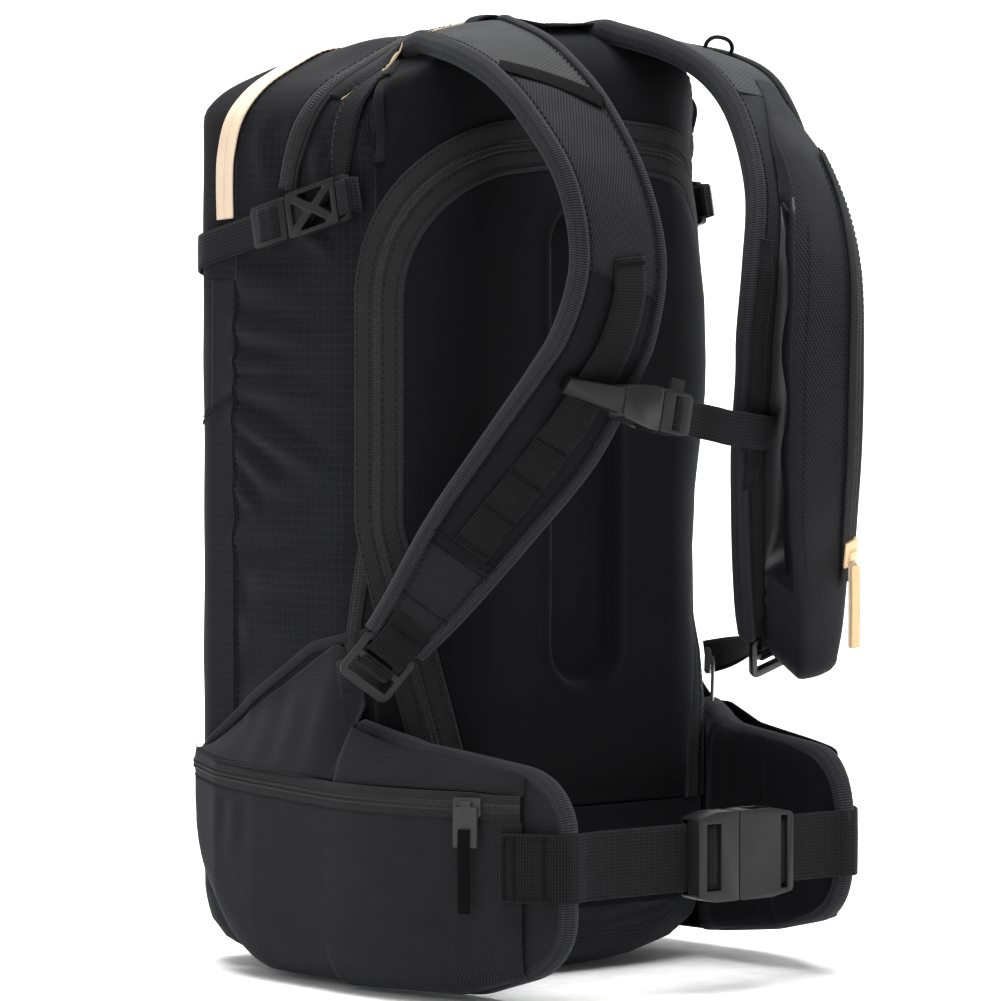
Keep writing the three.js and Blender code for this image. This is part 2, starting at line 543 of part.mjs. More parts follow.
// ---- hip belt: 38 mm webbing and a side-release buckle -------------------------------------------
const beltRun = (end) => band([v(-129, -184, BELT.z), v(-125, -196, BELT.z), v(-115.5, -209, BELT.z),
  v(-109, -214.8, BELT.z), v(-102, -215.4, BELT.z), v(-90, BELT.y + BELT.web, BELT.z),
    v(end, BELT.y + BELT.web, BELT.z)],
v(0, 0, -1), 2 * BELT.half, WEBBING, -WEBBING / 2);
add('right_belt_webbing', beltRun(7), MATERIAL.webbing);
add('left_belt_webbing', mirrored(beltRun(-45)), MATERIAL.webbing);
const beltBlock = (x0, x1, y0, y1, z) => block(x0, x1, BELT.y + y0, BELT.y + y1, BELT.z - z, BELT.z + z);
const beltPlate = (corners, y0, y1) => prism(rounded(corners.map(([x, z, r]) => [x, BELT.z + z, r]), 4),
  'xz',
  BELT.y + y0, BELT.y + y1);
const maleBody = beltPlate([[-19, -22, 3], [-6, -25, 3], [11, -25, 2], [11, 25, 2], [-6, 25, 3],
  [-19, 22, 3]], -9.5, 6.2);
const prong = (sign) => beltPlate([[9, 13 * sign, 0], [9, 19 * sign, 0], [24, 20 * sign, 2],
  [30, 17.5 * sign, 3],
  [30, 13 * sign, 1]], -3.4, -0.8);
const guide = beltPlate([[9, -4, 0], [36, -3, 1], [36, 3, 1], [9, 4, 0]], -3.4, -0.8);
const through = beltBlock(-20, 12, 0.2, 4.2, 20.4);
add('belt_male_buckle', join(cut(maleBody, through, beltBlock(-13, -2.5, -10, 1, 18.5),
  beltBlock(-15, 2, 4, 7, 18.5)),
  prong(1), prong(-1), guide), MATERIAL.plastic);
const femaleBody = beltPlate([[11.5, -25, 3], [36, -25, 4], [52, -22, 3], [52, 22, 3], [36, 25, 4],
  [11.5, 25, 3]], -9.5, 6.2);
const notch = (sign) => beltPlate([[19, 16 * sign, 1], [37, 16 * sign, 1], [35, 26 * sign, 2],
  [21, 26 * sign, 2]], -8, 3.5);
add('belt_female_buckle', cut(femaleBody, beltBlock(10, 39, -8, 4.2, 21.8), notch(1), notch(-1),
  beltBlock(42.5, 53, 0.2, 4.2, 20.4), beltBlock(42.5, 47.5, -10, 5, 20.4)), MATERIAL.plastic);

// ---- sternum strap: a tilted side-release buckle between the two rails ---------------------------
const tilted = new THREE.Matrix4().makeRotationY(STERNUM.tilt).setPosition(STERNUM.x, STERNUM.y,
  STERNUM.z);
const onTilt = (...box) => placed(block(...box), tilted);
const ringPlace = strapPlace(strapRight, 16, 0.56, 0);
const ringBar = placed(block(-17.5, 17.5, -4.5, 4.5, 6.2, 8.9), ringPlace);
const ring = cut(placed(block(-17.5, 17.5, -4.5, 4.5, 1.1, 8.9), ringPlace),
  placed(block(-14.5, 14.5, -5, 5, 2.8, 6.4), ringPlace));
const sternumFemale = cut(join(ring, wrap(ringBar, onTilt(-27, -22, -6, 2, -7, 7)),
  placed(prism(rounded([[-27, -9, 3], [-8, -12, 3], [0, -12, 2], [0, 12, 2], [-8, 12, 3], [-27, 9, 3]],
    3), 'xz', -7.5, 5.5),
    tilted)),
onTilt(-22.5, 1, -6, 4, -9, 9), onTilt(-15, -6, -6, 4, 8, 14), onTilt(-15, -6, -6, 4, -14, -8));
add('sternum_female_buckle', sternumFemale, MATERIAL.plastic);
const sternumMale = cut(join(
  placed(prism(rounded([[0.8, -12, 2], [16, -12, 3], [22, -11, 3], [22, 11, 3], [16, 12, 3],
    [0.8, 12, 2]], 3), 'xz', -7.5, 5.5),
    tilted),
  onTilt(-20, 2, -5.2, -2.9, -7.2, -4.4), onTilt(-20, 2, -5.2, -2.9, 4.4, 7.2),
  onTilt(-20, 2, -5.2, -2.9, -1.6, 1.6), onTilt(6, 16, -5, 1, 11, 19)),
onTilt(-1, 23, -2.6, 1.2, -10.6, 10.6), onTilt(9, 15, -9, 0, -9.5, 9.5), onTilt(7, 18, 0, 8, -9.5, 9.5));
add('sternum_male_buckle', sternumMale, MATERIAL.plastic);
const loopPlace = strapPlace(strapLeft, 17, RAIL.left.at, 0);
const endLoop = cut(placed(block(-8.7, 8.7, -9, 9, 1.1, 8), loopPlace),
  placed(block(-7.2, 7.2, -10, 10, 2.6, 6.5), loopPlace));
const loopFront = placed(block(-8.7, -2, -9, 9, 6.5, 8), loopPlace);
const strapRun = onTilt(7.5, 56, -1.5, 0, -NARROW, NARROW);
const strapTip = onTilt(54, 56, -1.5, 0, -NARROW, NARROW);
add('sternum_webbing', join(strapRun, wrap(strapTip, loopFront), endLoop), MATERIAL.webbing);

// ---- compression straps: anchor loop, open-work buckle, ladder buckle and strap, on both sides ----
const sideways = new THREE.Matrix4().makeRotationX(-COMPRESSION.slope).setPosition(-BODY.half, 0,
  COMPRESSION.z);
const onSide = (lift0, lift1, p0, p1, q) => placed(block(-lift1, -lift0, p0, p1, -q, q), sideways);
const sidePrism = (corners, lift0, lift1) => placed(prism(rounded(corners, 3), 'yz', -lift1, -lift0),
  sideways);
pair('compression_anchor', cut(onSide(0.6, 8.8, -66, -51.6, NARROW),
  onSide(2.1, 7.3, -64.5, -53.1, NARROW + 1)),
  MATERIAL.webbing);
const triangle = (a, b, c) => sidePrism([[...a, 1], [...b, 1], [...c, 1]], -1, 12);
pair('compression_female_buckle', cut(join(
  sidePrism([[-60, -13, 3], [-50, -13, 0], [-50, 13, 0], [-60, 13, 3]], 2.8, 6.6),
  sidePrism([[-51, -13, 0], [-5, -13, 3], [-5, 13, 3], [-51, 13, 0]], 2.2, 8)),
onSide(1, 9, -56.2, -51, NARROW + 0.7), triangle([-46.5, -7.5], [-46.5, 7.5], [-34.5, 0]),
triangle([-10, 7], [-10, -7], [-22, 0]), triangle([-43, 10.6], [-14, 10.6], [-28.5, 2.6]),
triangle([-43, -10.6], [-14, -10.6], [-28.5, -2.6]), onSide(3.9, 7, -25, -4, 8)), MATERIAL.plastic);
pair('compression_male_buckle', cut(join(
  sidePrism([[-4.2, -12, 2], [27, -12, 3], [27, 12, 3], [-4.2, 12, 2]], 0.6, 8.6),
  onSide(4.8, 6.3, -22, -3, 6)),
onSide(2, 4.5, -5, 28, NARROW + 0.8), sidePrism([[8, -6, 3], [14, -6, 3], [14, 6, 3], [8, 6, 3]], 4, 9)),
  MATERIAL.plastic);
const frontCorner = v(-BODY.half + BODY.frontRadius, BODY.front - BODY.frontRadius, 0);
const strapLift = 2.6;
const cornerPath = heights(0, Math.PI / 2, 6).map((angle) => {
  const r = BODY.frontRadius + strapLift - 1.4 * Math.sin(angle);
  const z = COMPRESSION.z - COMPRESSION.slope * (frontCorner.y + BODY.frontRadius * angle);
  return v(frontCorner.x - r * Math.cos(angle), frontCorner.y + r * Math.sin(angle), z);
});
const strapStart = v(-strapLift, 4, 0).applyMatrix4(sideways);
const strapStop = cornerPath[6].clone().add(v(20, 0, -4));
pair('compression_strap', band([strapStart, ...cornerPath, strapStop],
  [v(0, 0.2, 1), ...cornerPath.map(() => v(0, 0, 1)), v(0.2, 0, 1)], 2 * NARROW, WEBBING),
    MATERIAL.webbing);

// ---- haul loop and zip sliders --------------------------------------------------------------------
const haul = smooth([v(-51, -69.5, 540.2), v(-46, -69.5, 543.2), v(-34, -69.5, 547.2), v(0, -69.5, 547),
  v(34, -69.5, 547.2), v(46, -69.5, 543.2), v(51, -69.5, 540.2)], 18);
add('haul_loop', band(haul, v(0, -1, 0), haul.map((p) => Math.min(14, 5 + (51 - Math.abs(p.x)) * 0.9)),
  WEBBING),
  MATERIAL.webbing);

const runner = join(block(-4.5, 4.5, -7, 7, 0, 3.2), block(-2.5, 2.5, -2.5, 2.5, 3, 5.4),
  block(-3, 3, 0, 24, 4, 5.6));
const runnerAt = (point, down, out, lift) => placed(runner,
  new THREE.Matrix4().makeBasis(down.clone().cross(out), down,
    out).setPosition(point.clone().addScaledVector(out, lift)));
add('tool_zip_slider', runnerAt(v(BODY.half, TOOL_ZIP[1][0] - 0.5, TOOL_ZIP[1][1]), v(0, 0, -1),
  v(1, 0, 0), 1.8),
  MATERIAL.plastic);
const topDown = v(0, TOP_ZIP[1][0] - TOP_ZIP[2][0], TOP_ZIP[1][1] - TOP_ZIP[2][1]).normalize();
add('top_zip_slider', runnerAt(v(BODY.half, -1.5, 469.5), topDown, v(1, 0, 0), 1.8), MATERIAL.plastic);
const doorAt = [-110.5, 174];
const doorRun = [backPoint(-108, 164.3, 0), backPoint(-113, 183.7, 0)];
const doorOut = backPoint(...doorAt, 1).sub(backPoint(...doorAt, 0));
const doorDown = doorRun[0].clone().sub(doorRun[1]).normalize();
add('back_zip_slider', runnerAt(backPoint(...doorAt, 0), doorDown.addScaledVector(doorOut,
  -doorDown.dot(doorOut)).normalize(),
  doorOut, 2.6), MATERIAL.plastic);

// The sleeve's zip runs along its armpit side; its light pull hangs from the slider.
const sleeveZip = strapPlace(strapLeft, 21, 0.12, sleeveHeight(21) + 1.6);
add('sleeve_zip_slider', placed(join(block(-4.5, 4.5, -10, 10, 0, 3.2), block(-2.5, 2.5, -3, 3, 3, 5.4)),
  sleeveZip),
  MATERIAL.light);
const pullTop = v(0, 5, 4.6).applyMatrix4(sleeveZip);
add('sleeve_zip_pull', placed(prism(rounded([[-3, -50, 2], [3, -50, 2], [3, 0, 2], [-3, 0, 2]], 3), 'xz',
  -1, 1),
  new THREE.Matrix4().makeTranslation(pullTop.x, pullTop.y, pullTop.z)), MATERIAL.light);

export default model;
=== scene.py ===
"""Looks for a ski touring backpack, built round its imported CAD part.

All shapes are worked out in millimetres in the part's own frame and turned into metres when a mesh is made.
The wearer stands on the -Y side, so +X is the wearer's left.
"""
import math

import bmesh
import bpy
import numpy as np
from mathutils import Matrix, Vector


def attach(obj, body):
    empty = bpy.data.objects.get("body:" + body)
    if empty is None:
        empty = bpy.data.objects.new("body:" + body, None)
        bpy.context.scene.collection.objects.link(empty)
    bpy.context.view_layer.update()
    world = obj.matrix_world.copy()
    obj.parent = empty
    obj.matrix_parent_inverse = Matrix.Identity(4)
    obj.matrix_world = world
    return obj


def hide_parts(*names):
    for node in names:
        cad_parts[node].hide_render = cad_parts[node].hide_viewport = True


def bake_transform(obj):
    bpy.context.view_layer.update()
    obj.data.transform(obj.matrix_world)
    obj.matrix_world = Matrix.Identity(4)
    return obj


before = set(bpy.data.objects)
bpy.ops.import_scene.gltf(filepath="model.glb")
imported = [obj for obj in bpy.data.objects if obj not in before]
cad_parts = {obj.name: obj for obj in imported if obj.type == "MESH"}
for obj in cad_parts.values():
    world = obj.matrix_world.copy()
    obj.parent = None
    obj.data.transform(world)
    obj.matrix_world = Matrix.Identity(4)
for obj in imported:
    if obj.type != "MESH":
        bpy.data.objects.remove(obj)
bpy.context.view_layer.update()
RNG = np.random.default_rng(7)


# ---- camera, light and floor ---------------------------------------------------------------------
def look(obj, place, target):
    obj.location = place
    obj.rotation_euler = (Vector(target) - Vector(place)).to_track_quat("-Z", "Y").to_euler()


camera = bpy.data.objects.new("camera", bpy.data.cameras.new("camera"))
bpy.context.scene.collection.objects.link(camera)
camera.data.lens = 184.4
camera.data.clip_end = 60
look(camera, (-1.911, -2.309, 0.385), (0.0155, -0.013, 0.268))
bpy.context.scene.camera = camera
bpy.context.scene.view_settings.view_transform = "Standard"


def softbox(name, place, target, width, height, power):
    light = bpy.data.lights.new(name, "AREA")
    light.shape, light.size, light.size_y, light.energy = "RECTANGLE", width, height, power
    obj = bpy.data.objects.new(name, light)
    bpy.context.scene.collection.objects.link(obj)
    look(obj, place, target)


softbox("top_light", (-0.2, -0.5, 2.3), (0, 0, 0.3), 1.8, 1.8, 104)
softbox("left_light", (-2.6, -0.5, 1.1), (0, 0, 0.25), 1.5, 1.8, 21)
softbox("front_light", (-0.6, -3.0, 1.3), (0, 0, 0.25), 1.8, 1.4, 11)
softbox("right_light", (2.4, -1.2, 1.0), (0, 0, 0.3), 1.2, 1.6, 22)
softbox("backdrop_light", (0.2, 1.2, 4.2), (3.2, 3.8, 0.8), 3.0, 1.5, 420)


# ---- materials -----------------------------------------------------------------------------------
SHEEN_SHARE = 0.25


class Shader:
    """Small builder for one procedural material."""

    def __init__(self, name):
        self.material = bpy.data.materials.new(name)
        self.material.use_nodes = True
        self.nodes = self.material.node_tree.nodes
        self.links = self.material.node_tree.links
        self.surface = self.nodes["Principled BSDF"]

    def node(self, kind, inputs=(), **settings):
        made = self.nodes.new(kind)
        for key, value in settings.items():
            setattr(made, key, value)
        for key, value in dict(inputs).items():
            if isinstance(value, bpy.types.NodeSocket):
                self.links.new(value, made.inputs[key])
            else:
                made.inputs[key].default_value = value
        return made

    def math(self, operation, a, b=0.0, c=0.0):
        return self.node("ShaderNodeMath", {0: a, 1: b, 2: c}, operation=operation).outputs[0]

    def mapped(self, value, low, high):
        made = self.node("ShaderNodeMapRange", {0: value, 3: low, 4: high}, clamp=True)
        return made.outputs[0]

    def plane(self):
        """The mesh's own flat coordinates, in millimetres."""
        uv = self.node("ShaderNodeUVMap").outputs[0]
        parts = self.node("ShaderNodeSeparateXYZ", {0: uv})
        return self.math("MULTIPLY", parts.outputs[0], 1000), self.math("MULTIPLY", parts.outputs[1], 1000)

    def wave(self, value, pitch):
        """A wave from 0 to 1 along a coordinate."""
        turned = self.math("SINE", self.math("MULTIPLY", value, 2 * math.pi / pitch))
        return self.math("MULTIPLY_ADD", turned, 0.5, 0.5)

    def noise(self, scale, detail=3.0):
        place = self.node("ShaderNodeTexCoord").outputs["Object"]
        return self.node("ShaderNodeTexNoise",
                         {"Vector": place, "Scale": scale, "Detail": detail}).outputs["Fac"]

    def finish(self, colour, height, deep=0.4, bright=1.9, bump=0.25, rough=(0.75, 0.9), sheen=0.15,
               blotch=60,
               distance=0.0004, specular=0.05):
        # Base colour follows the weave's height: painted shade in the hollows between threads and a painted
        # highlight on the raised threads. The noise on the next line is random tone.
        shade = self.mapped(height, deep, bright)
        shade = self.math("MULTIPLY", shade, self.mapped(self.noise(blotch), 0.84, 1.16))
        paint = self.node("ShaderNodeVectorMath", {0: tuple(colour), "Scale": shade},
                          operation="SCALE").outputs[0]
        self.links.new(paint, self.surface.inputs["Base Color"])
        self.links.new(self.mapped(self.noise(900, 2.0), *rough), self.surface.inputs["Roughness"])
        normal = self.node("ShaderNodeBump",
                           {"Height": height, "Strength": bump, "Distance": distance}).outputs[0]
        self.links.new(normal, self.surface.inputs["Normal"])
        self.surface.inputs["Sheen Weight"].default_value = sheen * SHEEN_SHARE
        self.surface.inputs["Sheen Roughness"].default_value = 0.45
        self.surface.inputs["Sheen Tint"].default_value = (0.75, 0.78, 0.85, 1)
        self.surface.inputs["Specular IOR Level"].default_value = specular
        return self.material


def ripstop(name, colour, grid=5.2, **look_of):
    s = Shader(name)
    u, v = s.plane()
    fine = s.math("MULTIPLY", s.wave(u, 0.9), s.wave(v, 0.9))
    lines = s.math("MAXIMUM", s.math("POWER", s.wave(u, grid), 24), s.math("POWER", s.wave(v, grid), 24))
    height = s.math("ADD", s.math("MULTIPLY", fine, 0.55), s.math("MULTIPLY", lines, 0.45))
    return s.finish(colour, height, **look_of)


def basket(name, colour, pitch=1.7, slant=0.0, **look_of):
    """Coarse basket weave; slant turns it into a twill."""
    s = Shader(name)
    u, v = s.plane()
    if slant:
        diagonal = s.math("ADD", u, s.math("MULTIPLY", v, slant))
        height = s.math("MULTIPLY", s.wave(diagonal, pitch), s.mapped(s.wave(v, pitch * 0.8), 0.45, 1.0))
    else:
        a, b = [s.math("MULTIPLY_ADD", s.wave(line, pitch), 2.0, -1.0) for line in (u, v)]
        height = s.math("MULTIPLY_ADD", s.math("MULTIPLY", a, b), 0.5, 0.5)
    return s.finish(colour, height, **look_of)


def ribbed(name, colour, pitch=1.5, across=2.2, lengthwise=0.35, **look_of):
    """Narrow woven tape: ribs across its length and a weaker grain along it."""
    s = Shader(name)
    u, v = s.plane()
    height = s.math("MULTIPLY", s.wave(v, pitch), s.mapped(s.wave(u, across), 1.0 - lengthwise, 1.0))
    return s.finish(colour, height, **look_of)


def honeycomb(name, colour, pitch=2.6, **look_of):
    s = Shader(name)
    u, v = s.plane()
    half = s.math("MULTIPLY", u, 0.5)
    tall = s.math("MULTIPLY", v, 0.866)
    total = s.math("ADD", s.wave(u, pitch),
                   s.math("ADD", s.wave(s.math("ADD", half, tall), pitch),
                          s.wave(s.math("SUBTRACT", half, tall), pitch)))
    height = s.mapped(s.math("DIVIDE", total, 3.0), 0.0, 1.0)
    return s.finish(colour, height, **look_of)


def felted(name, colour, grain=1400, **look_of):
    """Brushed stretch fabric: no weave, only fine grain."""
    s = Shader(name)
    height = s.math("ADD", s.math("MULTIPLY", s.noise(grain, 4.0), 0.6),
                    s.math("MULTIPLY", s.noise(grain * 2.7, 2.0), 0.4))
    return s.finish(colour, height, **look_of)


def moulded(name, colour, rough=(0.38, 0.52), **look_of):
    s = Shader(name)
    height = s.noise(2600, 3.0)
    return s.finish(colour, height, deep=0.9, bright=1.1, bump=0.12, rough=rough, sheen=0.0, blotch=30,
                    specular=0.17, **look_of)


SHELL = ripstop("shell_ripstop", (0.0066, 0.0066, 0.0075), rough=(0.55, 0.72), bump=0.16, sheen=0.12)
GUSSET = basket("gusset_cloth", (0.0082, 0.0082, 0.0088), pitch=1.3, slant=1.0, bump=0.3)
BALLISTIC = basket("strap_ballistic", (0.0112, 0.0112, 0.0120), pitch=1.9, slant=0.55, bump=0.5, sheen=0.25)
TWILL = basket("pocket_twill", (0.0106, 0.0106, 0.0114), pitch=1.7, slant=0.7, bump=0.45, sheen=0.2)
FOAM = felted("foam_cover", (0.0026, 0.0026, 0.0031), bump=0.3, sheen=0.22)
SMOOTH = felted("smooth_face", (0.0050, 0.0050, 0.0056), bump=0.2, sheen=0.2)
MESHY = honeycomb("strap_mesh", (0.0261, 0.0261, 0.0261), pitch=2.2, deep=0.35, bright=1.3, bump=0.7,
                  sheen=0.35)
BINDING = ribbed("binding_tape", (0.0145, 0.0145, 0.0156), pitch=1.4, across=4.0, deep=0.3, bright=2.0,
                 bump=0.6, sheen=0.3)
WEBBING = ribbed("webbing", (0.0068, 0.0068, 0.0072), pitch=1.6, across=1.9, lengthwise=0.7, bump=0.6,
                 sheen=0.2)
DARK_WEBBING = ribbed("dark_webbing", (0.0016, 0.0016, 0.0018), pitch=1.4, across=2.2, bump=0.5, sheen=0.0)
ZIP_CLOTH = ribbed("zip_tape", (0.0135, 0.0135, 0.0140), pitch=1.0, across=1.4, lengthwise=0.6, bump=0.4,
                   sheen=0.2)
COIL = moulded("zip_coil", (0.0072, 0.0072, 0.0077))
LIGHT = ribbed("light_tape", (0.60, 0.475, 0.355), pitch=1.0, across=1.6, lengthwise=0.5, deep=0.8,
               bright=1.05, bump=0.3)
LIGHT_SLIDER = moulded("light_slider", (0.72, 0.49, 0.28))
LIGHT_PULL = ribbed("light_pull", (0.72, 0.49, 0.28), pitch=1.2, across=1.6, deep=0.75, bright=1.05, bump=0.4)
RAW_EDGE = ribbed("raw_edge", (0.62, 0.50, 0.34), pitch=0.9, across=2.0, deep=0.5, bright=1.3, bump=0.5)
THREAD = ribbed("thread", (0.0054, 0.0054, 0.0059), pitch=0.6, across=0.8, deep=0.6, bright=1.3, bump=0.4)
PLASTIC = moulded("buckle_plastic", (0.0085, 0.0085, 0.0092), rough=(0.3, 0.45))
METAL = moulded("slider_metal", (0.0225, 0.0225, 0.0234), rough=(0.25, 0.4))
LINING = felted("shiny_lining", (0.0108, 0.0108, 0.0121), grain=500, rough=(0.28, 0.42), bump=0.5, sheen=0.0,
                specular=0.35)
SHEET = moulded("frame_sheet_plastic", (0.0054, 0.0059, 0.0067))
ALUMINIUM = moulded("stay_aluminium", (0.55, 0.57, 0.6), rough=(0.25, 0.4))
ALUMINIUM.node_tree.nodes["Principled BSDF"].inputs["Metallic"].default_value = 1.0


# ---- meshes --------------------------------------------------------------------------------------
def make(name, points, faces, materials, body, corner_uv=None, face_material=None, replace=(), slot=None,
         thick=0.0,
         fill=None, bend=None, smooth=True, offset=-1.0):
    """One piece of the object. Points are millimetres; faces are lists of point numbers."""
    data = bpy.data.meshes.new(name)
    data.from_pydata((np.asarray(points, float) * 0.001).tolist(), [], [list(map(int, f)) for f in faces])
    data.validate()
    if corner_uv is not None:
        layer = data.uv_layers.new(name="UVMap")
        flat = np.asarray(corner_uv, float).reshape(-1) * 0.001
        if len(flat) == 2 * len(data.loops):
            layer.data.foreach_set("uv", flat)
    for material in materials:
        data.materials.append(material)
    if face_material is not None and len(face_material) == len(data.polygons):
        data.polygons.foreach_set("material_index", np.asarray(face_material, np.int32))
    data.polygons.foreach_set("use_smooth", np.full(len(data.polygons), smooth))
    obj = bpy.data.objects.new(name, data)
    bpy.context.scene.collection.objects.link(obj)
    if thick:
        solid = obj.modifiers.new("cloth", "SOLIDIFY")
        solid.thickness, solid.offset = thick * 0.001, offset
    if bend is None:
        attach(obj, body)
    else:
        [c * 0.001 for c in bend[2]]
        [c * 0.001 for c in bend[3]]
        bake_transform(obj)
    if replace:
        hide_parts(*replace)
    return obj


def lengths(p):
    """Mean distance run along the first axis of a grid of points."""
    steps = np.linalg.norm(np.diff(p, axis=0), axis=2).mean(axis=1)
    return np.r_[0, np.cumsum(steps)]


def lattice(p, closed=False, caps=False, pick=None, flip=False, uv=None):
    """Points, faces, corner coordinates and face materials of a grid p[row, column]."""
    rows, columns = p.shape[:2]
    ring = np.concatenate([p, p[:, :1]], axis=1) if closed else p
    v_line = lengths(ring)
    u_line = lengths(ring.transpose(1, 0, 2))
    i, j = np.meshgrid(np.arange(rows - 1), np.arange(ring.shape[1] - 1), indexing="ij")
    i, j = i.ravel(), j.ravel()
    k = (j + 1) % columns if closed else j + 1
    corners = [(i, j, j), (i, k, j + 1), (i + 1, k, j + 1), (i + 1, j, j)]
    if flip:
        corners = corners[::-1]
    faces = np.stack([a * columns + b for a, b, _ in corners], axis=1)
    if uv is None:
        coordinates = np.stack([np.stack([u_line[c], v_line[a]], axis=1) for a, _, c in corners], axis=1)
    else:
        coordinates = np.stack([uv[a, c] for a, _, c in corners], axis=1)
    points, faces, coordinates = p.reshape(-1, 3), faces.tolist(), coordinates.reshape(-1, 2).tolist()
    chosen = [pick(a, b) for a, b in zip(i, j)] if pick else [0] * len(faces)
    if caps:
        for row in (0, rows - 1):
            ends = [row * columns + c for c in range(columns)]
            ends = ends if (row > 0) != flip else ends[::-1]
            faces.append(ends)
            coordinates += [[u_line[c % columns], v_line[row]] for c in range(columns)]
            chosen.append(chosen[0] if row == 0 else chosen[-1])
    return points, faces, coordinates, chosen


def grid(name, p, materials, body, closed=False, caps=False, pick=None, flip=False, uv=None, **rest):
    points, faces, coordinates, chosen = lattice(np.asarray(p, float), closed, caps, pick, flip, uv)
    return make(name, points, faces, materials, body, coordinates, chosen, **rest)


def band(name, p, materials, body, **rest):
    """A closed tube with both ends filled."""
    return grid(name, p, materials, body, closed=True, caps=True, **rest)


class Bundle:
    """Many small meshes gathered into one piece."""

    def __init__(self):
        self.points, self.faces, self.uv, self.chosen, self.count = [], [], [], [], 0

    def put(self, p, faces, uv, material=0):
        p = np.asarray(p, float).reshape(-1, 3)
        self.points.append(p)
        self.faces += [[c + self.count for c in f] for f in faces]
        self.uv += [list(c) for c in uv]
        self.chosen += [material] * len(faces)
        self.count += len(p)
        return self

    def grid(self, p, material=0, **how):
        points, faces, uv, _ = lattice(np.asarray(p, float), **how)
        return self.put(points, faces, uv, material)

    def band(self, p):
        return self.grid(p, closed=True, caps=True)

    def done(self, name, materials, body, **rest):
        return make(name, np.concatenate(self.points), self.faces, materials, body, self.uv, self.chosen,
                    **rest)


def unit(a):
    a = np.asarray(a, float)
    return a / np.maximum(np.linalg.norm(a, axis=-1, keepdims=True), 1e-9)


def tangents(path):
    return unit(np.gradient(path, axis=0))


def even(path, step, extra=None):
    """The path, and anything that goes with it, at equal steps."""
    path = np.asarray(path, float)
    run = np.r_[0, np.cumsum(np.linalg.norm(np.diff(path, axis=0), axis=1))]
    count = max(2, int(round(run[-1] / step)) + 1)
    at = np.linspace(0, run[-1], count)
    read = lambda a: np.stack([np.interp(at, run, a[:, k]) for k in range(a.shape[1])], axis=1)
    if extra is None:
        return read(path)
    return read(path), unit(read(np.asarray(extra, float)))


def ribbon(path, normals, width, thick, crown=0.0, columns=8, lift=0.0):
    """A closed band round a path: its top follows the normals, its edges are rounded."""
    along = tangents(path)
    normals = unit(normals - along * np.sum(normals * along, axis=1, keepdims=True))
    side = np.cross(along, normals)
    width = np.broadcast_to(np.asarray(width, float), (len(path),))[:, None]
    x = np.linspace(-1, 1, columns)
    top = thick + crown * (1 - x ** 2)
    edge = thick * 0.35
    profile = [(a, t) for a, t in zip(x * 0.985, top)] + [(1.0, thick - edge), (1.0, edge)]
    profile += [(a, 0.0) for a in x[::-1] * 0.985] + [(-1.0, edge), (-1.0, thick - edge)]
    a = np.array([q[0] for q in profile])[None, :, None]
    t = np.array([q[1] for q in profile])[None, :, None] + lift
    return path[:, None] + side[:, None] * a * width[:, None] / 2 + normals[:, None] * t


def tube(path, radius, normals=None, flat=1.0, sides=8):
    along = tangents(path)
    if normals is None:
        normals = np.cross(along, np.array([0.13, 0.31, 0.94]))
    normals = unit(normals - along * np.sum(normals * along, axis=1, keepdims=True))
    side = np.cross(along, normals)
    angle = np.linspace(0, 2 * np.pi, sides, endpoint=False)
    radius = np.broadcast_to(np.asarray(radius, float), (len(path),))[:, None, None]
    c, s = np.cos(angle)[None, :, None], np.sin(angle)[None, :, None]
    return path[:, None] + radius * (side[:, None] * c + normals[:, None] * s * flat)


def stitches(bundle, path, normals, length=2.7, pitch=4.0, radius=0.34, lift=0.15):
    """A row of thread stitches along a path."""
    path, normals = even(path, pitch / 4, normals)
    along = tangents(path)
    side = np.cross(along, normals)
    pick = np.arange(2, len(path) - 2, 4)
    if not len(pick):
        return
    turn = np.linspace(0, 2 * math.pi, 6, endpoint=False)
    shape = np.array([(-0.5, 0.25, -0.5), (-0.3, 1.0, 0.2), (0.3, 1.0, 0.2), (0.5, 0.25, -0.5)])
    centre = path[pick, None] + along[pick, None] * shape[None, :, :1] * length \
        + normals[pick, None] * (lift + shape[None, :, 2:] * radius)
    ring = (side[pick, None, None] * np.cos(turn)[None, None, :, None]
            + normals[pick, None, None] * np.sin(turn)[None, None, :, None])
    p = centre[:, :, None] + ring * (radius * shape[None, :, 1, None, None])
    one = [[r * 6 + c, r * 6 + (c + 1) % 6, r * 6 + 6 + (c + 1) % 6, r * 6 + 6 + c] for r in range(3)
           for c in range(6)]
    faces = [[c + 24 * k for c in f] for k in range(len(pick)) for f in one]
    bundle.put(p.reshape(-1, 3), faces, [(0.0, 0.3 * (k % 7)) for k in range(4 * len(faces))])


def bartack(bundle, centre, along, normal, width=9.0, count=12):
    """A dense block of thread across a webbing."""
    along, normal = unit(along), unit(normal)
    side = np.cross(along, normal)
    for k in range(count):
        x = (k / (count - 1) - 0.5) * width
        ends = np.array([centre + side * x + along * (1.1 if k % 2 else -1.1) * s + normal * 0.35
                         for s in (-1, 0, 1)])
        bundle.band(tube(ends, 0.38, np.tile(normal, (3, 1)), sides=6))


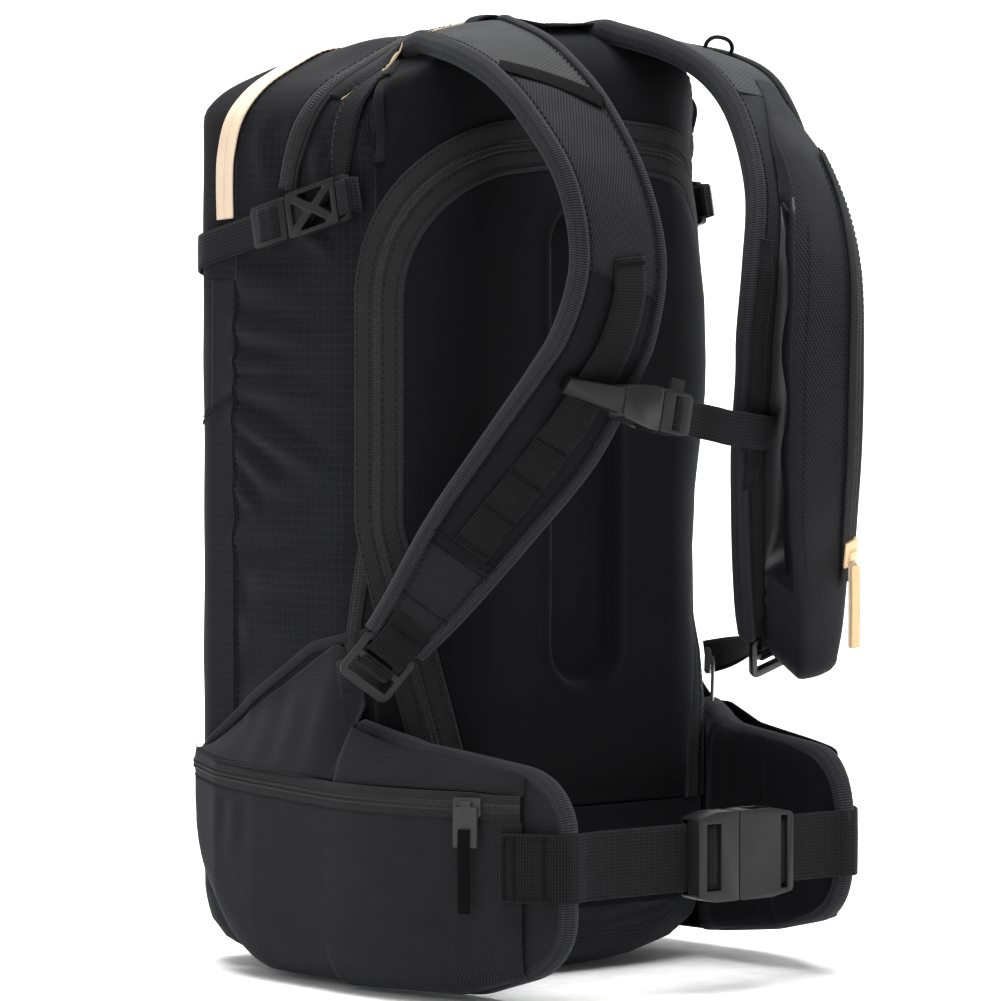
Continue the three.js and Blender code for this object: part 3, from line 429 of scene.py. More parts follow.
def coil(path, normals, pitch=1.75, lift=0.0):
    """The closed teeth of a coil zip: two rows of humps with a groove between them."""
    path, normals = even(path, pitch / 4, normals)
    along = tangents(path)
    side = np.cross(along, normals)
    offsets = np.array([-2.7, -2.4, -1.5, -0.6, 0.0, 0.6, 1.5, 2.4, 2.7])
    height = np.array([0.0, 0.7, 1.15, 0.95, 0.35, 0.95, 1.15, 0.7, 0.0])
    rib = 0.62 + 0.38 * np.cos(np.arange(len(path)) * np.pi / 2)[:, None]
    shift = np.where(offsets > 0, 0.0, 0.4)
    rib = np.where(offsets[None] > 0, rib,
                   0.62 + 0.38 * np.cos(np.arange(len(path)) * np.pi / 2 + np.pi)[:, None])
    p = path[:, None] + side[:, None] * offsets[None, :, None]
    p = p + normals[:, None] * (height[None] * rib)[..., None] + along[:, None] * shift[None, :, None]
    return p + normals[:, None] * lift


def spaced(points, count):
    """Equal steps along a centripetal spline through the points."""
    p = np.array(points, float)
    q = np.vstack([2 * p[0] - p[1], p, 2 * p[-1] - p[-2]])
    line = []
    for a, b, c, d in zip(q, q[1:], q[2:], q[3:]):
        d0, d1, d2 = [max(1e-4, float(np.sum((m - n) ** 2)) ** 0.25) for m, n in ((a, b), (b, c), (c, d))]
        m1 = ((b - a) / d0 - (c - a) / (d0 + d1) + (c - b) / d1) * d1
        m2 = ((c - b) / d1 - (d - b) / (d1 + d2) + (d - c) / d2) * d1
        t = np.linspace(0, 1, 60, endpoint=False)[:, None]
        line.append(b + t * m1 + t ** 2 * (-3 * b + 3 * c - 2 * m1 - m2) + t ** 3 * (2 * b - 2 * c + m1 + m2))
    line = np.vstack([*line, p[-1:]])
    run = np.r_[0, np.cumsum(np.linalg.norm(np.diff(line, axis=0), axis=1))]
    at = np.linspace(0, run[-1], count + 1)
    return np.stack([np.interp(at, run, line[:, k]) for k in range(3)], axis=1)


def step(x, low, high):
    t = np.clip((np.asarray(x, float) - low) / (high - low), 0, 1)
    return t * t * (3 - 2 * t)


def rounded(corners, steps=16):
    """A polygon whose corners (x, y, radius) are rounded by arcs."""
    points = []
    n = len(corners)
    for i, corner in enumerate(corners):
        here, r = np.array(corner[:2], float), (corner[2] if len(corner) > 2 else 0)
        if not r:
            points.append(here)
            continue
        a = unit(np.array(corners[i - 1][:2], float) - here)
        b = unit(np.array(corners[(i + 1) % n][:2], float) - here)
        half = math.acos(np.clip(a @ b, -1, 1)) / 2
        centre = here + unit(a + b) * r / math.sin(half)
        first, last = here + a * r / math.tan(half) - centre, here + b * r / math.tan(half) - centre
        start = math.atan2(first[1], first[0])
        turn = math.atan2(last[1], last[0]) - start
        turn -= round(turn / (2 * math.pi)) * 2 * math.pi
        for k in range(steps + 1):
            angle = start + turn * k / steps
            points.append(centre + r * np.array([math.cos(angle), math.sin(angle)]))
    return np.array(points)


# ---- the body's surface --------------------------------------------------------------------------
HALF, BACK, FRONT, BACK_R, FRONT_R = 128.0, -102.0, 103.0, 62.0, 28.0
FLAT = HALF - BACK_R
PLAN = [(0, 34, 84), (4, 22, 80), (13, 9, 74), (25, 2.5, 66), (40, 0, 62), (620, 0, 62)]


def plan_planes():
    made = []
    for angle in np.linspace(0, 2 * np.pi, 240, endpoint=False):
        c, s = math.cos(angle), math.sin(angle)

        def reach(move, r):
            if s < 0:
                return abs(c) * (HALF - move - r) + s * (BACK + move + r) + r
            return abs(c) * (HALF - move - FRONT_R) + s * (FRONT - move - FRONT_R) + FRONT_R

        supports = [(z, reach(move, r)) for z, move, r in PLAN]
        for (z0, h0), (z1, h1) in zip(supports, supports[1:]):
            slope = (h1 - h0) / (z1 - z0)
            made.append((c, s, -slope, h0 - slope * z0))
    return np.array(made)


def profile_planes(corners, axis):
    outline = rounded(corners, 24)
    made = []
    for a, b in zip(outline, np.roll(outline, -1, axis=0)):
        d = b - a
        if np.linalg.norm(d) < 1e-6:
            continue
        n = unit(np.array([d[1], -d[0]]))
        if n[1] > 0.02:
            made.append((n[0], 0, n[1], n @ a) if axis == "x" else (0, n[0], n[1], n @ a))
    return np.array(made)


PLANES = [
    plan_planes(),
    profile_planes([(BACK, 0), (FRONT, 0), (FRONT, 519, 74), (-50, 543, 40), (BACK, 536, 44)], "y"),
    profile_planes([(-HALF, 0), (HALF, 0), (HALF, 500, 42), (64, 538, 50), (0, 545, 150), (-64, 538, 50),
                    (-HALF, 500, 42)], "x"),
    np.array([(0, 0, -1.0, 0)]),
]


def reach_of(planes, origin, direction):
    facing = direction @ planes[:, :3].T
    gap = planes[:, 3][None] - origin @ planes[:, :3].T
    with np.errstate(divide="ignore", invalid="ignore"):
        t = np.where(facing > 1e-7, gap / facing, 1e6)
    return np.minimum(t.min(axis=1), 1e6)


def soft_min(a, b, k):
    h = np.clip(0.5 + 0.5 * (b - a) / k, 0, 1)
    return b * (1 - h) + a * h - k * h * (1 - h)


# Creases of the side panel in the side view: start, end, half-width and height, all millimetres.
CREASES = [((54, 371), (-24, 366), 6.0, 2.0), ((54, 350), (-6, 347), 5.0, 2.2),
           ((54, 334), (-40, 326), 6.0, 2.0),
           ((54, 318), (-46, 284), 7.0, 2.6), ((52, 302), (-4, 276), 6.0, 1.8),
           ((52, 280), (28, 262), 5.0, 1.6),
           ((54, 247), (-12, 263), 7.0, 1.8), ((36, 224), (-52, 242), 9.0, 1.6),
           ((50, 396), (-14, 398), 8.0, 1.4),
           ((46, 196), (-10, 204), 10.0, 1.2), ((40, 150), (0, 172), 12.0, 1.4),
           ((-20, 470), (-44, 420), 7.0, 2.0),
           ((30, 486), (18, 440), 9.0, 1.4), ((-6, 426), (-40, 408), 6.0, 1.8),
           ((-62, 486), (-70, 446), 6.0, 2.6)]
CORNER_TUCK = np.array([(150, 0), (180, 3), (200, 7), (240, 8.5), (275, 7), (300, 4), (330, 1), (350, 0.5),
                        (385, 1),
                        (430, 5), (455, 8), (500, 7), (545, 2)], float)


def tuck(x, y, z):
    """How far the wearer's left back corner is drawn in: the pack hangs a little twisted."""
    angle = np.arctan2(x - FLAT, -(y - (BACK + BACK_R)))
    round_corner = np.sin(np.clip(angle, 0, np.pi / 2) * 2) ** 1.3
    return round_corner * np.interp(z, CORNER_TUCK[:, 0], CORNER_TUCK[:, 1]) * (x > FLAT - 6)


def relief(p):
    """How far the cloth stands out from the plain form at each point."""
    x, y, z = p[:, 0], p[:, 1], p[:, 2]
    side = step(np.abs(x), 100, 122)
    mask = side * step(y, -66, -40) * (1 - step(y, 58, 84)) * step(z, 40, 90) * (1 - step(z, 470, 505))
    raised = 1.6 * np.sin(np.pi * np.clip((y + 60) / 134, 0,
                                          1)) * np.sin(np.pi * np.clip((z - 40) / 470, 0, 1))
    for k, (a, b, wide, high) in enumerate(CREASES):
        a, b = np.array(a, float), np.array(b, float)
        yy = y + np.where(x > 0, 7.0, 0.0)
        zz = z + np.where(x > 0, 11.0, 0.0)
        d = b - a
        t = ((yy - a[0]) * d[0] + (zz - a[1]) * d[1]) / (d @ d)
        bow = 2.5 * math.sin(1.7 * k + 1) * np.sin(np.pi * np.clip(t, 0, 1))
        off = ((yy - a[0]) * d[1] - (zz - a[1]) * d[0]) / np.linalg.norm(d) + bow
        fade = step(t, -0.12, 0.12) * (1 - step(t, 0.45, 1.1))
        raised = raised + 1.4 * high * fade * (np.exp(-(off / wide) ** 2)
                                               - 0.55 * np.exp(-((off - 1.5 * wide) / wide) ** 2))
    total = raised * mask
    top = step(z, 500, 530) * (1 - step(np.abs(x), 96, 118)) * (1 - step(y, 40, 80)) * step(y, -92, -70)
    total = total + top * (1.3 * np.sin(x / 17 + y / 31) * np.sin(y / 15 + 0.6)
                           + 0.8 * np.sin(x / 9.5 - y / 23 + 2))
    front = step(y, 84, 100) * step(z, 45, 120) * (1 - step(z, 470, 510))
    total = total + front * (3.2 * np.cos(np.clip(x / 110, -1, 1) * np.pi / 2)
                             + 0.9 * np.sin(x / 26 + z / 19) * np.sin(z / 41))
    near_corner = step(np.abs(x), 96, 116) * step(y, -88, -78) * (1 - step(y, -62, -54))
    gathers = near_corner * step(z, 462, 474) * (1 - step(z, 506, 520))
    total = total + gathers * (1.5 * np.sin(y / 2.6 + z / 7.5) + 0.9 * np.sin(y / 4.4 - z / 11))
    rounder = step(z, 3, 22) * (1 - step(z, 30, 62))
    total = total + rounder * 0.8 * np.sin(x / 24 + y / 19)
    return total - tuck(x, y, z)


def surface(origin, direction):
    origin, direction = np.atleast_2d(np.asarray(origin,
                                                 float)), unit(np.atleast_2d(np.asarray(direction, float)))
    origin = np.broadcast_to(origin, direction.shape)
    out = []
    for k in range(0, len(direction), 4000):
        o, d = origin[k:k + 4000], direction[k:k + 4000]
        plan, side, front, base = [reach_of(planes, o, d) for planes in PLANES]
        t = soft_min(soft_min(soft_min(plan, side, 5.0), front, 5.0), base, 3.0)
        p = o + d * t[:, None]
        out.append(p + d * relief(p)[:, None])
    return np.concatenate(out)


def on_side(y, z, sign=-1, lift=0.0):
    """The side wall's surface seen from the side, and its outward direction."""
    y, z = np.broadcast_arrays(np.asarray(y, float), np.asarray(z, float))
    start = np.stack([np.zeros_like(y), y, z], axis=-1).reshape(-1, 3)
    way = np.array([sign, 0.0, 0.0])
    p = surface(start, np.broadcast_to(way, start.shape))
    e = 1.5
    py = surface(start + [0, e, 0], np.broadcast_to(way, start.shape))
    pz = surface(start + [0, 0, e], np.broadcast_to(way, start.shape))
    n = unit(np.cross(py - p, pz - p))
    n = n * np.sign(n[:, :1] * sign)
    return p + n * lift, n


def on_top(x, y, lift=0.0):
    x, y = np.broadcast_arrays(np.asarray(x, float), np.asarray(y, float))
    start = np.stack([x, y, np.full_like(x, 300.0)], axis=-1).reshape(-1, 3)
    way = np.broadcast_to([0, 0, 1.0], start.shape)
    p, px, py = surface(start, way), surface(start + [1.5, 0, 0], way), surface(start + [0, 1.5, 0], way)
    n = unit(np.cross(px - p, py - p))
    n = n * np.sign(n[:, 2:])
    return p + n * lift, n


def back_point(s, z, lift=0.0):
    """The back wall unrolled: s runs round from the middle, positive towards -X."""
    s, z, lift = np.broadcast_arrays(np.asarray(s, float), np.asarray(z, float), np.asarray(lift, float))
    turn = np.maximum(0, np.abs(s) - FLAT) / BACK_R
    base_x = np.minimum(np.abs(s), FLAT)
    x = -np.sign(s) * (base_x + BACK_R * np.sin(turn))
    y = BACK + BACK_R * (1 - np.cos(turn))
    lift = lift - tuck(x, y, z)
    n = np.stack([-np.sign(s) * np.sin(turn), -np.cos(turn), np.zeros_like(turn)], axis=-1)
    return np.stack([x, y, z], axis=-1) + n * lift[..., None], n


# ---- door outline --------------------------------------------------------------------------------
def door_line(grow):
    """The back door's zip line in the unrolled back wall, from its lower right foot over the
    top."""
    g = grow
    corners = [(97 + g, 96), (99 + g, 130, 60 - g), (133 + g, 258, 60 + g), (133 + g, 464 + g, 88 + g),
               (0, 476 + g, 150),
               (-133 - g, 464 + g, 88 + g), (-133 - g, 258, 60 + g), (-99 - g, 130, 60 - g), (-97 - g, 96)]
    return rounded(corners, 16)




def inside_door(s, z, grow=0.0):
    """True where an unrolled point lies within the door outline."""
    outline = door_line(grow)
    s, z = np.asarray(s, float), np.asarray(z, float)
    inside = np.zeros(s.shape, bool)
    for a, b in zip(outline, np.roll(outline, -1, axis=0)):
        crossing = (a[1] > z) != (b[1] > z)
        with np.errstate(divide="ignore", invalid="ignore"):
            x = (b[0] - a[0]) * (z - a[1]) / (b[1] - a[1]) + a[0]
        inside ^= crossing & (s < x)
    return inside


def unrolled(x, y):
    angle = np.arctan2(np.maximum(np.abs(x) - FLAT, 0), np.maximum(BACK + BACK_R - y, 1e-6))
    s = np.where(np.abs(x) <= FLAT, np.abs(x), FLAT + BACK_R * angle)
    return -np.sign(x) * s


# ---- body panels ---------------------------------------------------------------------------------
def skin_grid():
    angle = np.linspace(-np.pi, np.pi, 1441)
    flat = np.stack([np.cos(angle), np.sin(angle), np.zeros_like(angle)], axis=1)
    ring = surface([0, 0, 250.0], flat)
    run = np.r_[0, np.cumsum(np.linalg.norm(np.diff(ring, axis=0), axis=1))]
    spread = np.interp(np.linspace(0, run[-1], 236, endpoint=False), run, angle)
    rows = [(92.0, t) for t in np.linspace(-89.9, -2, 40)] + [(z, 0.0) for z in np.arange(92, 420, 3.9)]
    rows += [(420.0, t) for t in np.linspace(2, 89.9, 58)]
    grid_points = []
    for height, tilt in rows:
        t = math.radians(tilt)
        d = np.stack([np.cos(spread) * math.cos(t), np.sin(spread) * math.cos(t),
                      np.full_like(spread, math.sin(t))], axis=1)
        grid_points.append(surface([0, 0, height], d))
    return np.array(grid_points)


def body_panels():
    p = skin_grid()
    points, faces, _, _ = lattice(p, closed=True)
    data = bpy.data.meshes.new("skin")
    data.from_pydata(points.tolist(), [], faces)
    work = bmesh.new()
    work.from_mesh(data)
    bmesh.ops.remove_doubles(work, verts=work.verts, dist=0.05)
    for place, normal in (((0, 0, 38), (0, 0, 1)), ((0, -50, 0), (0, 1, 0)), ((0, 54, 0), (0, 1, 0)),
                          ((-120.8, 0, 0), (1, 0, 0)), ((120.8, 0, 0), (1, 0, 0))):
        bmesh.ops.bisect_plane(work, geom=work.verts[:] + work.edges[:] + work.faces[:], dist=0.02,
                               plane_co=place,
                               plane_no=normal)
    work.normal_update()
    work.verts.index_update()
    points = np.array([v.co for v in work.verts])
    faces = [[v.index for v in f.verts] for f in work.faces]
    centres = np.array([points[f].mean(axis=0) for f in faces])
    work.free()
    bpy.data.meshes.remove(data)
    s, z = unrolled(centres[:, 0], centres[:, 1]), centres[:, 2]
    doorway = inside_door(s, z, 1.8) & (centres[:, 1] < -40)
    back = (centres[:, 1] < -50) & (np.abs(centres[:, 0]) < 120.8)
    group = np.select(
        [doorway, z < 38, centres[:, 1] > 54, back & (z < 260), back],
        ["door", "base", "front", "lumbar", "yoke"], "shell")
    names = {"base": ("base_cover", BALLISTIC, ["base_panel"], "ballistic"),
             "front": ("front_cover", GUSSET, ["front_panel"], "ballistic"),
                          "lumbar": ("lumbar_cover", FOAM, ["lumbar_panel"], "foam_cover"),
             "yoke": ("yoke_cover", FOAM, ["yoke_panel"], "foam_cover"),
             "shell": ("shell_cover", SHELL, ["right_side_panel", "left_side_panel", "top_panel"], "shell")}
    beside_door = set()
    for f, g in zip(faces, group):
        if g == "door":
            beside_door.update(f)
    kept = set(v for f, g in zip(faces, group) if g != "door" for v in f)
    rim = np.array(sorted(beside_door & kept))
    seam_dense = even(np.c_[door_line(1.8), np.zeros(len(door_line(1.8)))], 1.0)
    edge_3d, _ = back_point(seam_dense[:, 0], seam_dense[:, 1])
    for v in rim:
        gap = np.linalg.norm(edge_3d - points[v], axis=1)
        if gap.min() < 8:
            points[v] = edge_3d[gap.argmin()]
    for key, (name, material, nodes, slot) in names.items():
        chosen = [f for f, g in zip(faces, group) if g == key]
        used = sorted({v for f in chosen for v in f})
        number = {v: k for k, v in enumerate(used)}
        local = points[used]
        chosen = [[number[v] for v in f] for f in chosen]
        if key == "base":
            flat = local[:, [0, 1]]
        elif key == "front":
            flat = local[:, [0, 2]]
        elif key in ("lumbar", "yoke"):
            flat = np.stack([unrolled(local[:, 0], local[:, 1]), local[:, 2]], axis=1)
        else:
            flat = np.stack([local[:, 1] - (np.abs(local[:, 0]) - HALF) * (local[:, 1] < 0), local[:, 2]],
                            axis=1)
        corner = [flat[v] for f in chosen for v in f]
        if key == "shell":
            corner = [local[v, :2] if local[f, 2].mean() > 514 and abs(local[f, 0].mean()) < 112 else flat[v]
                      for f in chosen for v in f]
        make(name, local, chosen, [material], "root", corner, replace=nodes, slot=slot, thick=2.4)


body_panels()


# ---- back door -----------------------------------------------------------------------------------
def back_door():
    heights = np.r_[np.linspace(97, 160, 26), np.linspace(162.5, 440, 112), np.linspace(442, 472.6, 34)]
    line = door_line(-0.5)
    right = line[line[:, 0] > 0]
    right = right[np.argsort(right[:, 1])]
    wide = np.interp(heights, right[:, 1], right[:, 0])
    share = np.linspace(-1, 1, 151)
    share = np.sign(share) * np.abs(share) ** 0.94
    s = wide[:, None] * share[None]
    z = np.repeat(heights[:, None], len(share), axis=1)
    outline = even(np.c_[line, np.zeros(len(line))], 5.0)[:, :2]
    gap = np.sqrt(((s[..., None] - outline[:, 0]) ** 2 + (z[..., None] - outline[:, 1]) ** 2).min(axis=-1))
    gap = np.minimum(gap, z - 94)
    puff = 4.0 * np.sqrt(np.clip(1 - (1 - np.clip((gap - 13.5) / 24, 0, 1)) ** 2, 0,
                                 1)) - 1.0 * (1 - step(gap, 11, 15))
    puff = puff + 1.3 * np.exp(-((np.abs(s) - 68) / 30) ** 2) * np.sin(np.pi * np.clip((z - 100) / 360, 0, 1))
    half, low, high, r = 25.0, 165.0, 440.0, 24.0
    dx = np.maximum(np.abs(s) - (half - r), 0)
    dz = np.maximum(np.maximum(low + r - z, z - (high - r)), 0)
    signed = np.hypot(dx, dz) - r
    pressed = 1 - step(signed, -5.5, 1.0)
    puff = puff - 9.6 * pressed + 0.9 * np.exp(-((signed - 3.0) / 3.0) ** 2)
    puff = puff + 0.35 * np.sin(s / 21 + z / 37) * np.sin(z / 29)
    p, _ = back_point(s, z, puff)
    uv = np.stack([s, z], axis=-1)
    grid("back_pad_cover", p, [FOAM], "back_door", flip=True, uv=uv, replace=["back_pad"], slot="foam_cover",
         thick=2.6, fill=0.8)
    bundle = Bundle()
    ring = np.array([(x, zz) for x,
                     zz in rounded([(-half - 2.6, low - 2.6, r + 2), (half + 2.6, low - 2.6, r + 2),
                                                    (half + 2.6, high + 2.6, r + 2),
                                                    (-half - 2.6, high + 2.6, r + 2)], 10)])
    ring = np.vstack([ring, ring[:1]])
    route, normal = back_point(ring[:, 0], ring[:, 1], 3.2)
    route, normal = even(route, 1.5, normal)
    bundle.grid(tube(route, 0.35, normal), closed=True)
    bundle.done("channel_seam", [THREAD], "back_door")


back_door()


def door_zip():
    """The door's zip: an outer tape on the body, an inner tape and the coil on the door."""
    def tape(offset, lift):
        line = door_line(offset)
        line = even(np.c_[line, np.zeros(len(line))], 2.2)[:, :2]
        p, n = back_point(line[:, 0], line[:, 1], lift)
        return p, n

    outer, outer_n = tape(8.4, 0.5)
    inner, inner_n = tape(-6.6, 0.1)
    middle, middle_n = tape(0.4, 1.3)
    band("door_zip_outer", ribbon(outer, outer_n, 12.6, 1.0, crown=0.5), [ZIP_CLOTH], "root",
         replace=["back_zip_outer_tape"], slot="zip")
    band("door_zip_inner", ribbon(inner, inner_n, 12.6, 1.0, crown=0.5), [ZIP_CLOTH], "back_door",
         replace=["back_zip_inner_tape"], slot="zip")
    Bundle().grid(coil(middle, middle_n, lift=0.2)).done("door_zip_coil", [COIL], "back_door", slot="zip")
    piping, piping_n = tape(-13.6, 0.8)
    band("door_piping", tube(piping, 1.5, piping_n, sides=10), [BINDING], "back_door")
    rows = Bundle()
    for offset in (12.6, 4.6):
        a, n = tape(offset, 1.7)
        stitches(rows, a, n, lift=0.1)
    rows.done("door_outer_stitches", [THREAD], "root")
    rows = Bundle()
    for offset in (-3.4, -10.6):
        a, n = tape(offset, 1.3)
        stitches(rows, a, n, lift=0.1)
    rows.done("door_inner_stitches", [THREAD], "back_door")


door_zip()


# ---- shoulder straps -----------------------------------------------------------------------------
FINE = 5          # samples between two of the part's 26 strap stations
SAMPLES = 26 * FINE
STERNUM_EDGE = [(-36, -84, 545), (-45, -129, 532), (-49, -156, 518), (-48, -182, 495), (-41, -207, 450),
                (-33, -212, 406), (-34, -204, 362), (-39.5, -197, 341), (-53.7, -178, 296), (-80, -151, 250),
                (-110, -122, 203), (-123, -110, 186)]
ARMPIT_RIGHT = [(-98, -78, 534), (-106, -120, 525), (-108, -152, 512), (-108, -181, 491), (-102, -210, 451),
                (-95, -213, 405), (-96, -197, 366), (-98, -179, 346), (-110, -148, 306), (-127, -121, 262),
                (-143, -103, 218), (-150, -98, 203)]
ARMPIT_LEFT = [(98, -78, 534), (106, -118, 526), (109, -146, 514), (108, -166, 493), (101, -193, 450),
               (95, -212, 405), (95, -214, 362), (100, -208, 341), (114, -187, 300), (136, -154, 258),
               (157, -124, 213), (163, -116, 196)]


class Strap:
    def __init__(self, sign, sternum, armpit):
        self.sign = sign
        self.sternum, self.armpit = spaced(sternum, SAMPLES), spaced(armpit, SAMPLES)
        middle = (self.sternum + self.armpit) / 2
        self.down = unit(np.array([middle[min(i + FINE, SAMPLES)] - middle[max(i - FINE, 0)]
                                   for i in range(SAMPLES + 1)]))
        across = self.sternum - self.armpit
        self.width = np.linalg.norm(across, axis=1)
        self.across = unit(across)
        self.out = unit(np.cross(self.down, self.across)) * sign

    def read(self, values, at):
        at = np.asarray(at, float) * FINE
        low = np.clip(np.floor(at).astype(int), 0, SAMPLES - 1)
        part = (at - low)[..., None]
        return values[low] * (1 - part) + values[low + 1] * part

    def on(self, at, share, lift):
        """A point on the strap: its station, its share of the way from the armpit edge, 0, to the
        sternum edge, 1, and its lift from the face."""
        at, share, lift = np.broadcast_arrays(np.asarray(at, float), np.asarray(share, float),
                                              np.asarray(lift, float))
        a, b, out = self.read(self.armpit, at), self.read(self.sternum, at), self.read(self.out, at)
        point = a + (b - a) * share[..., None] + out * lift[..., None]
        point[..., 2] -= 5.6 * np.maximum(0, -at) ** 1.5
        return point

    def normal(self, at):
        return unit(self.read(self.out, at))

    def place(self, at, share, lift):
        down, out = self.read(self.down, float(at)), self.normal(float(at))
        x = unit(np.cross(down, out))
        return x, down, out, self.on(float(at), share, lift)


RIGHT = Strap(1, STERNUM_EDGE, ARMPIT_RIGHT)
LEFT = Strap(-1, [(-x, y, z) for x, y, z in STERNUM_EDGE], ARMPIT_LEFT)


def strap_pad(side, strap, first=0.0):
    """The padded strap: a crowned outer face, a softer inner face and rolled edges."""
    at = np.linspace(first, 26, 300)
    x = np.linspace(-1, 1, 25)
    fat = np.clip(1 - np.abs(x) ** 6, 0, 1) ** 0.5
    outer = list(zip(x * 0.5 + 0.5, -0.6 - 4.0 * (1 - fat) + 1.0 * (1 - x ** 2), np.zeros(25)))
    inner = list(zip(x[::-1] * 0.5 + 0.5, -9.4 + 4.0 * (1 - fat[::-1]) - 0.8 * (1 - x[::-1] ** 2),
                     np.ones(25)))
    section = outer[1:-1] + [(0.997, -3.2, 0), (1.0, -5.0, 0), (0.997, -6.8, 1)] + inner[1:-1]
    section += [(0.003, -6.8, 1), (0.0, -5.0, 0), (0.003, -3.2, 0)]
    share, lift = np.array([q[0] for q in section]), np.array([q[1] for q in section])
    swell = (0.35 * np.sin(at[:, None] * 1.9) * np.sin(share[None] * 9.0)
             + 0.25 * np.sin(at[:, None] * 4.3 + share[None] * 5))
    inner_side = (lift < -5)[None]
    lifts = lift[None] + swell * np.where(inner_side, 1.0, 0.5)
    p = strap.on(at[:, None], share[None], lifts)
    if side == "right":
        seam = lambda c: 12.2 + 0.5 * share[c]
        pick = lambda r, c: 2 if lift[c] < -5 else (0 if at[r] < 4.2
                                                    + 2.2 * share[c] else (1 if at[r] < seam(c) else (
            3 if at[r] < 22.6 else 1)))
    else:
        pick = lambda r, c: 2 if lift[c] < -5 else (0 if at[r] < 5.5 else 1)
    band(f"{side}_strap_pad", p, [MESHY, BALLISTIC, FOAM, SMOOTH], "root", pick=pick, flip=side == "left",
         replace=[f"{side}_shoulder_strap"], slot="ballistic", fill=0.7)
    rows = Bundle()
    for edge, inward in ((1.0, -1), (0.0, 1)):
        core = strap.on(at, edge, -5.0) + unit(strap.read(strap.across, at)) * inward * 2.6
        out, across = strap.normal(at), unit(strap.read(strap.across, at)) * -inward
        angle = np.linspace(-2.35, 2.35, 17)
        shape = [(-2.4, -4.9)] + [(4.092 * math.cos(a), 6.3 * math.sin(a)) for a in angle] + [(-2.4, 4.9)]
        wave = 0.15 * np.sin(at * 11.0 + edge)
        p = core[:, None] + across[:, None] * np.array([q[0] for q in shape])[None, :, None] \
            + out[:, None] * (np.array([q[1] for q in shape])[None, :] * (1 + 0.01 * wave[:, None]))[..., None]
        grid(f"{side}_strap_binding_{'sternum' if edge else 'armpit'}", p, [BINDING], "root", thick=0.9,
             offset=0.0)
        line = strap.on(at, edge, -0.2) + unit(strap.read(strap.across, at)) * inward * 7.6
        line, normal = even(line, 1.2, out)
        stitches(rows, line, normal, lift=0.35)
    rows.done(f"{side}_strap_stitches", [THREAD], "root")


strap_pad("right", RIGHT, -1.7)
strap_pad("left", LEFT, -1.7)


def strap_band(name, strap, stations, shares, width, thick, material, lift=0.5, crown=0.3, body="root",
               **rest):
    """A tape sewn on a strap, from one share to another as the stations change."""
    at, share = np.linspace(*stations, 60), np.linspace(*shares, 60)
    path = strap.on(at, share, lift)
    normals = strap.normal(at)
    path, normals = even(path, 1.5, normals)
    return band(name, ribbon(path, normals, width, thick, crown=crown), [material], body, **rest)


strap_band("right_shoulder_band", RIGHT, (4.4, 6.3), (0.1, 0.9), 12.5, 0.8, DARK_WEBBING)
yoke_seams = Bundle()
for stations, shares, strap in (((12.2, 12.7), (0.08, 0.93), RIGHT), ((22.6, 22.8), (0.1, 0.9), RIGHT),
                                ((24.4, 24.6), (0.12, 0.88), RIGHT),
                                ((22.2, 22.4), (0.1, 0.9), RIGHT), ((5.5, 5.6), (0.06, 0.94), LEFT)):
    at, share = np.linspace(*stations, 40), np.linspace(*shares, 40)
    path, normals = even(strap.on(at, share, 0.45), 1.2, strap.normal(at))
    yoke_seams.band(tube(path, 0.45, normals))
yoke_seams.done("strap_cross_seams", [THREAD], "root")


def daisy():
    """The webbing sewn down the right strap: it stands off as a rail, then lies flat in
    short loops."""
    at = np.linspace(11.6, 22.3, 240)
    lift = np.where(at < 18, 0.6 + 3.0 * step(at, 11.8, 12.8) * (1 - step(at, 17.2, 18.2)), 0.6)
    lift = np.where(at >= 18, 0.6 + 1.5 * np.abs(np.sin((at - 18.1) * np.pi / 1.35)) ** 1.5, lift)
    path, normals = RIGHT.on(at, 0.54, lift), RIGHT.normal(at)
    path, normals = even(path, 0.8, normals)
    band("right_rail_webbing", ribbon(path, normals, 22, 1.5, crown=0.25), [WEBBING], "root",
         replace=["right_sternum_rail"], slot="webbing")
    tacks = Bundle()
    for station in (11.8, 18.15, 19.45, 20.8, 22.1):
        x, down, out, centre = RIGHT.place(station, 0.54, 2.1)
        bartack(tacks, centre, down, out, width=20, count=18)
    tacks.done("right_rail_tacks", [THREAD], "root")
    at = np.linspace(10.8, 19.2, 160)
    lift = 0.6 + 3.0 * step(at, 11.0, 12.0) * (1 - step(at, 18.2, 19.0))
    path, normals = even(LEFT.on(at, 0.9, lift), 0.9, LEFT.normal(at))
    band("left_rail_webbing", ribbon(path, normals, 9, 1.4, crown=0.2), [WEBBING], "root",
         replace=["left_sternum_rail"], slot="webbing")


daisy()


# ---- the tube sleeve on the left strap -----------------------------------------------------------
def sleeve_height(at):
    return 4 + 33 * np.sin(np.pi / 2 * np.minimum(1, np.maximum(0, at - 6.4) / 14))


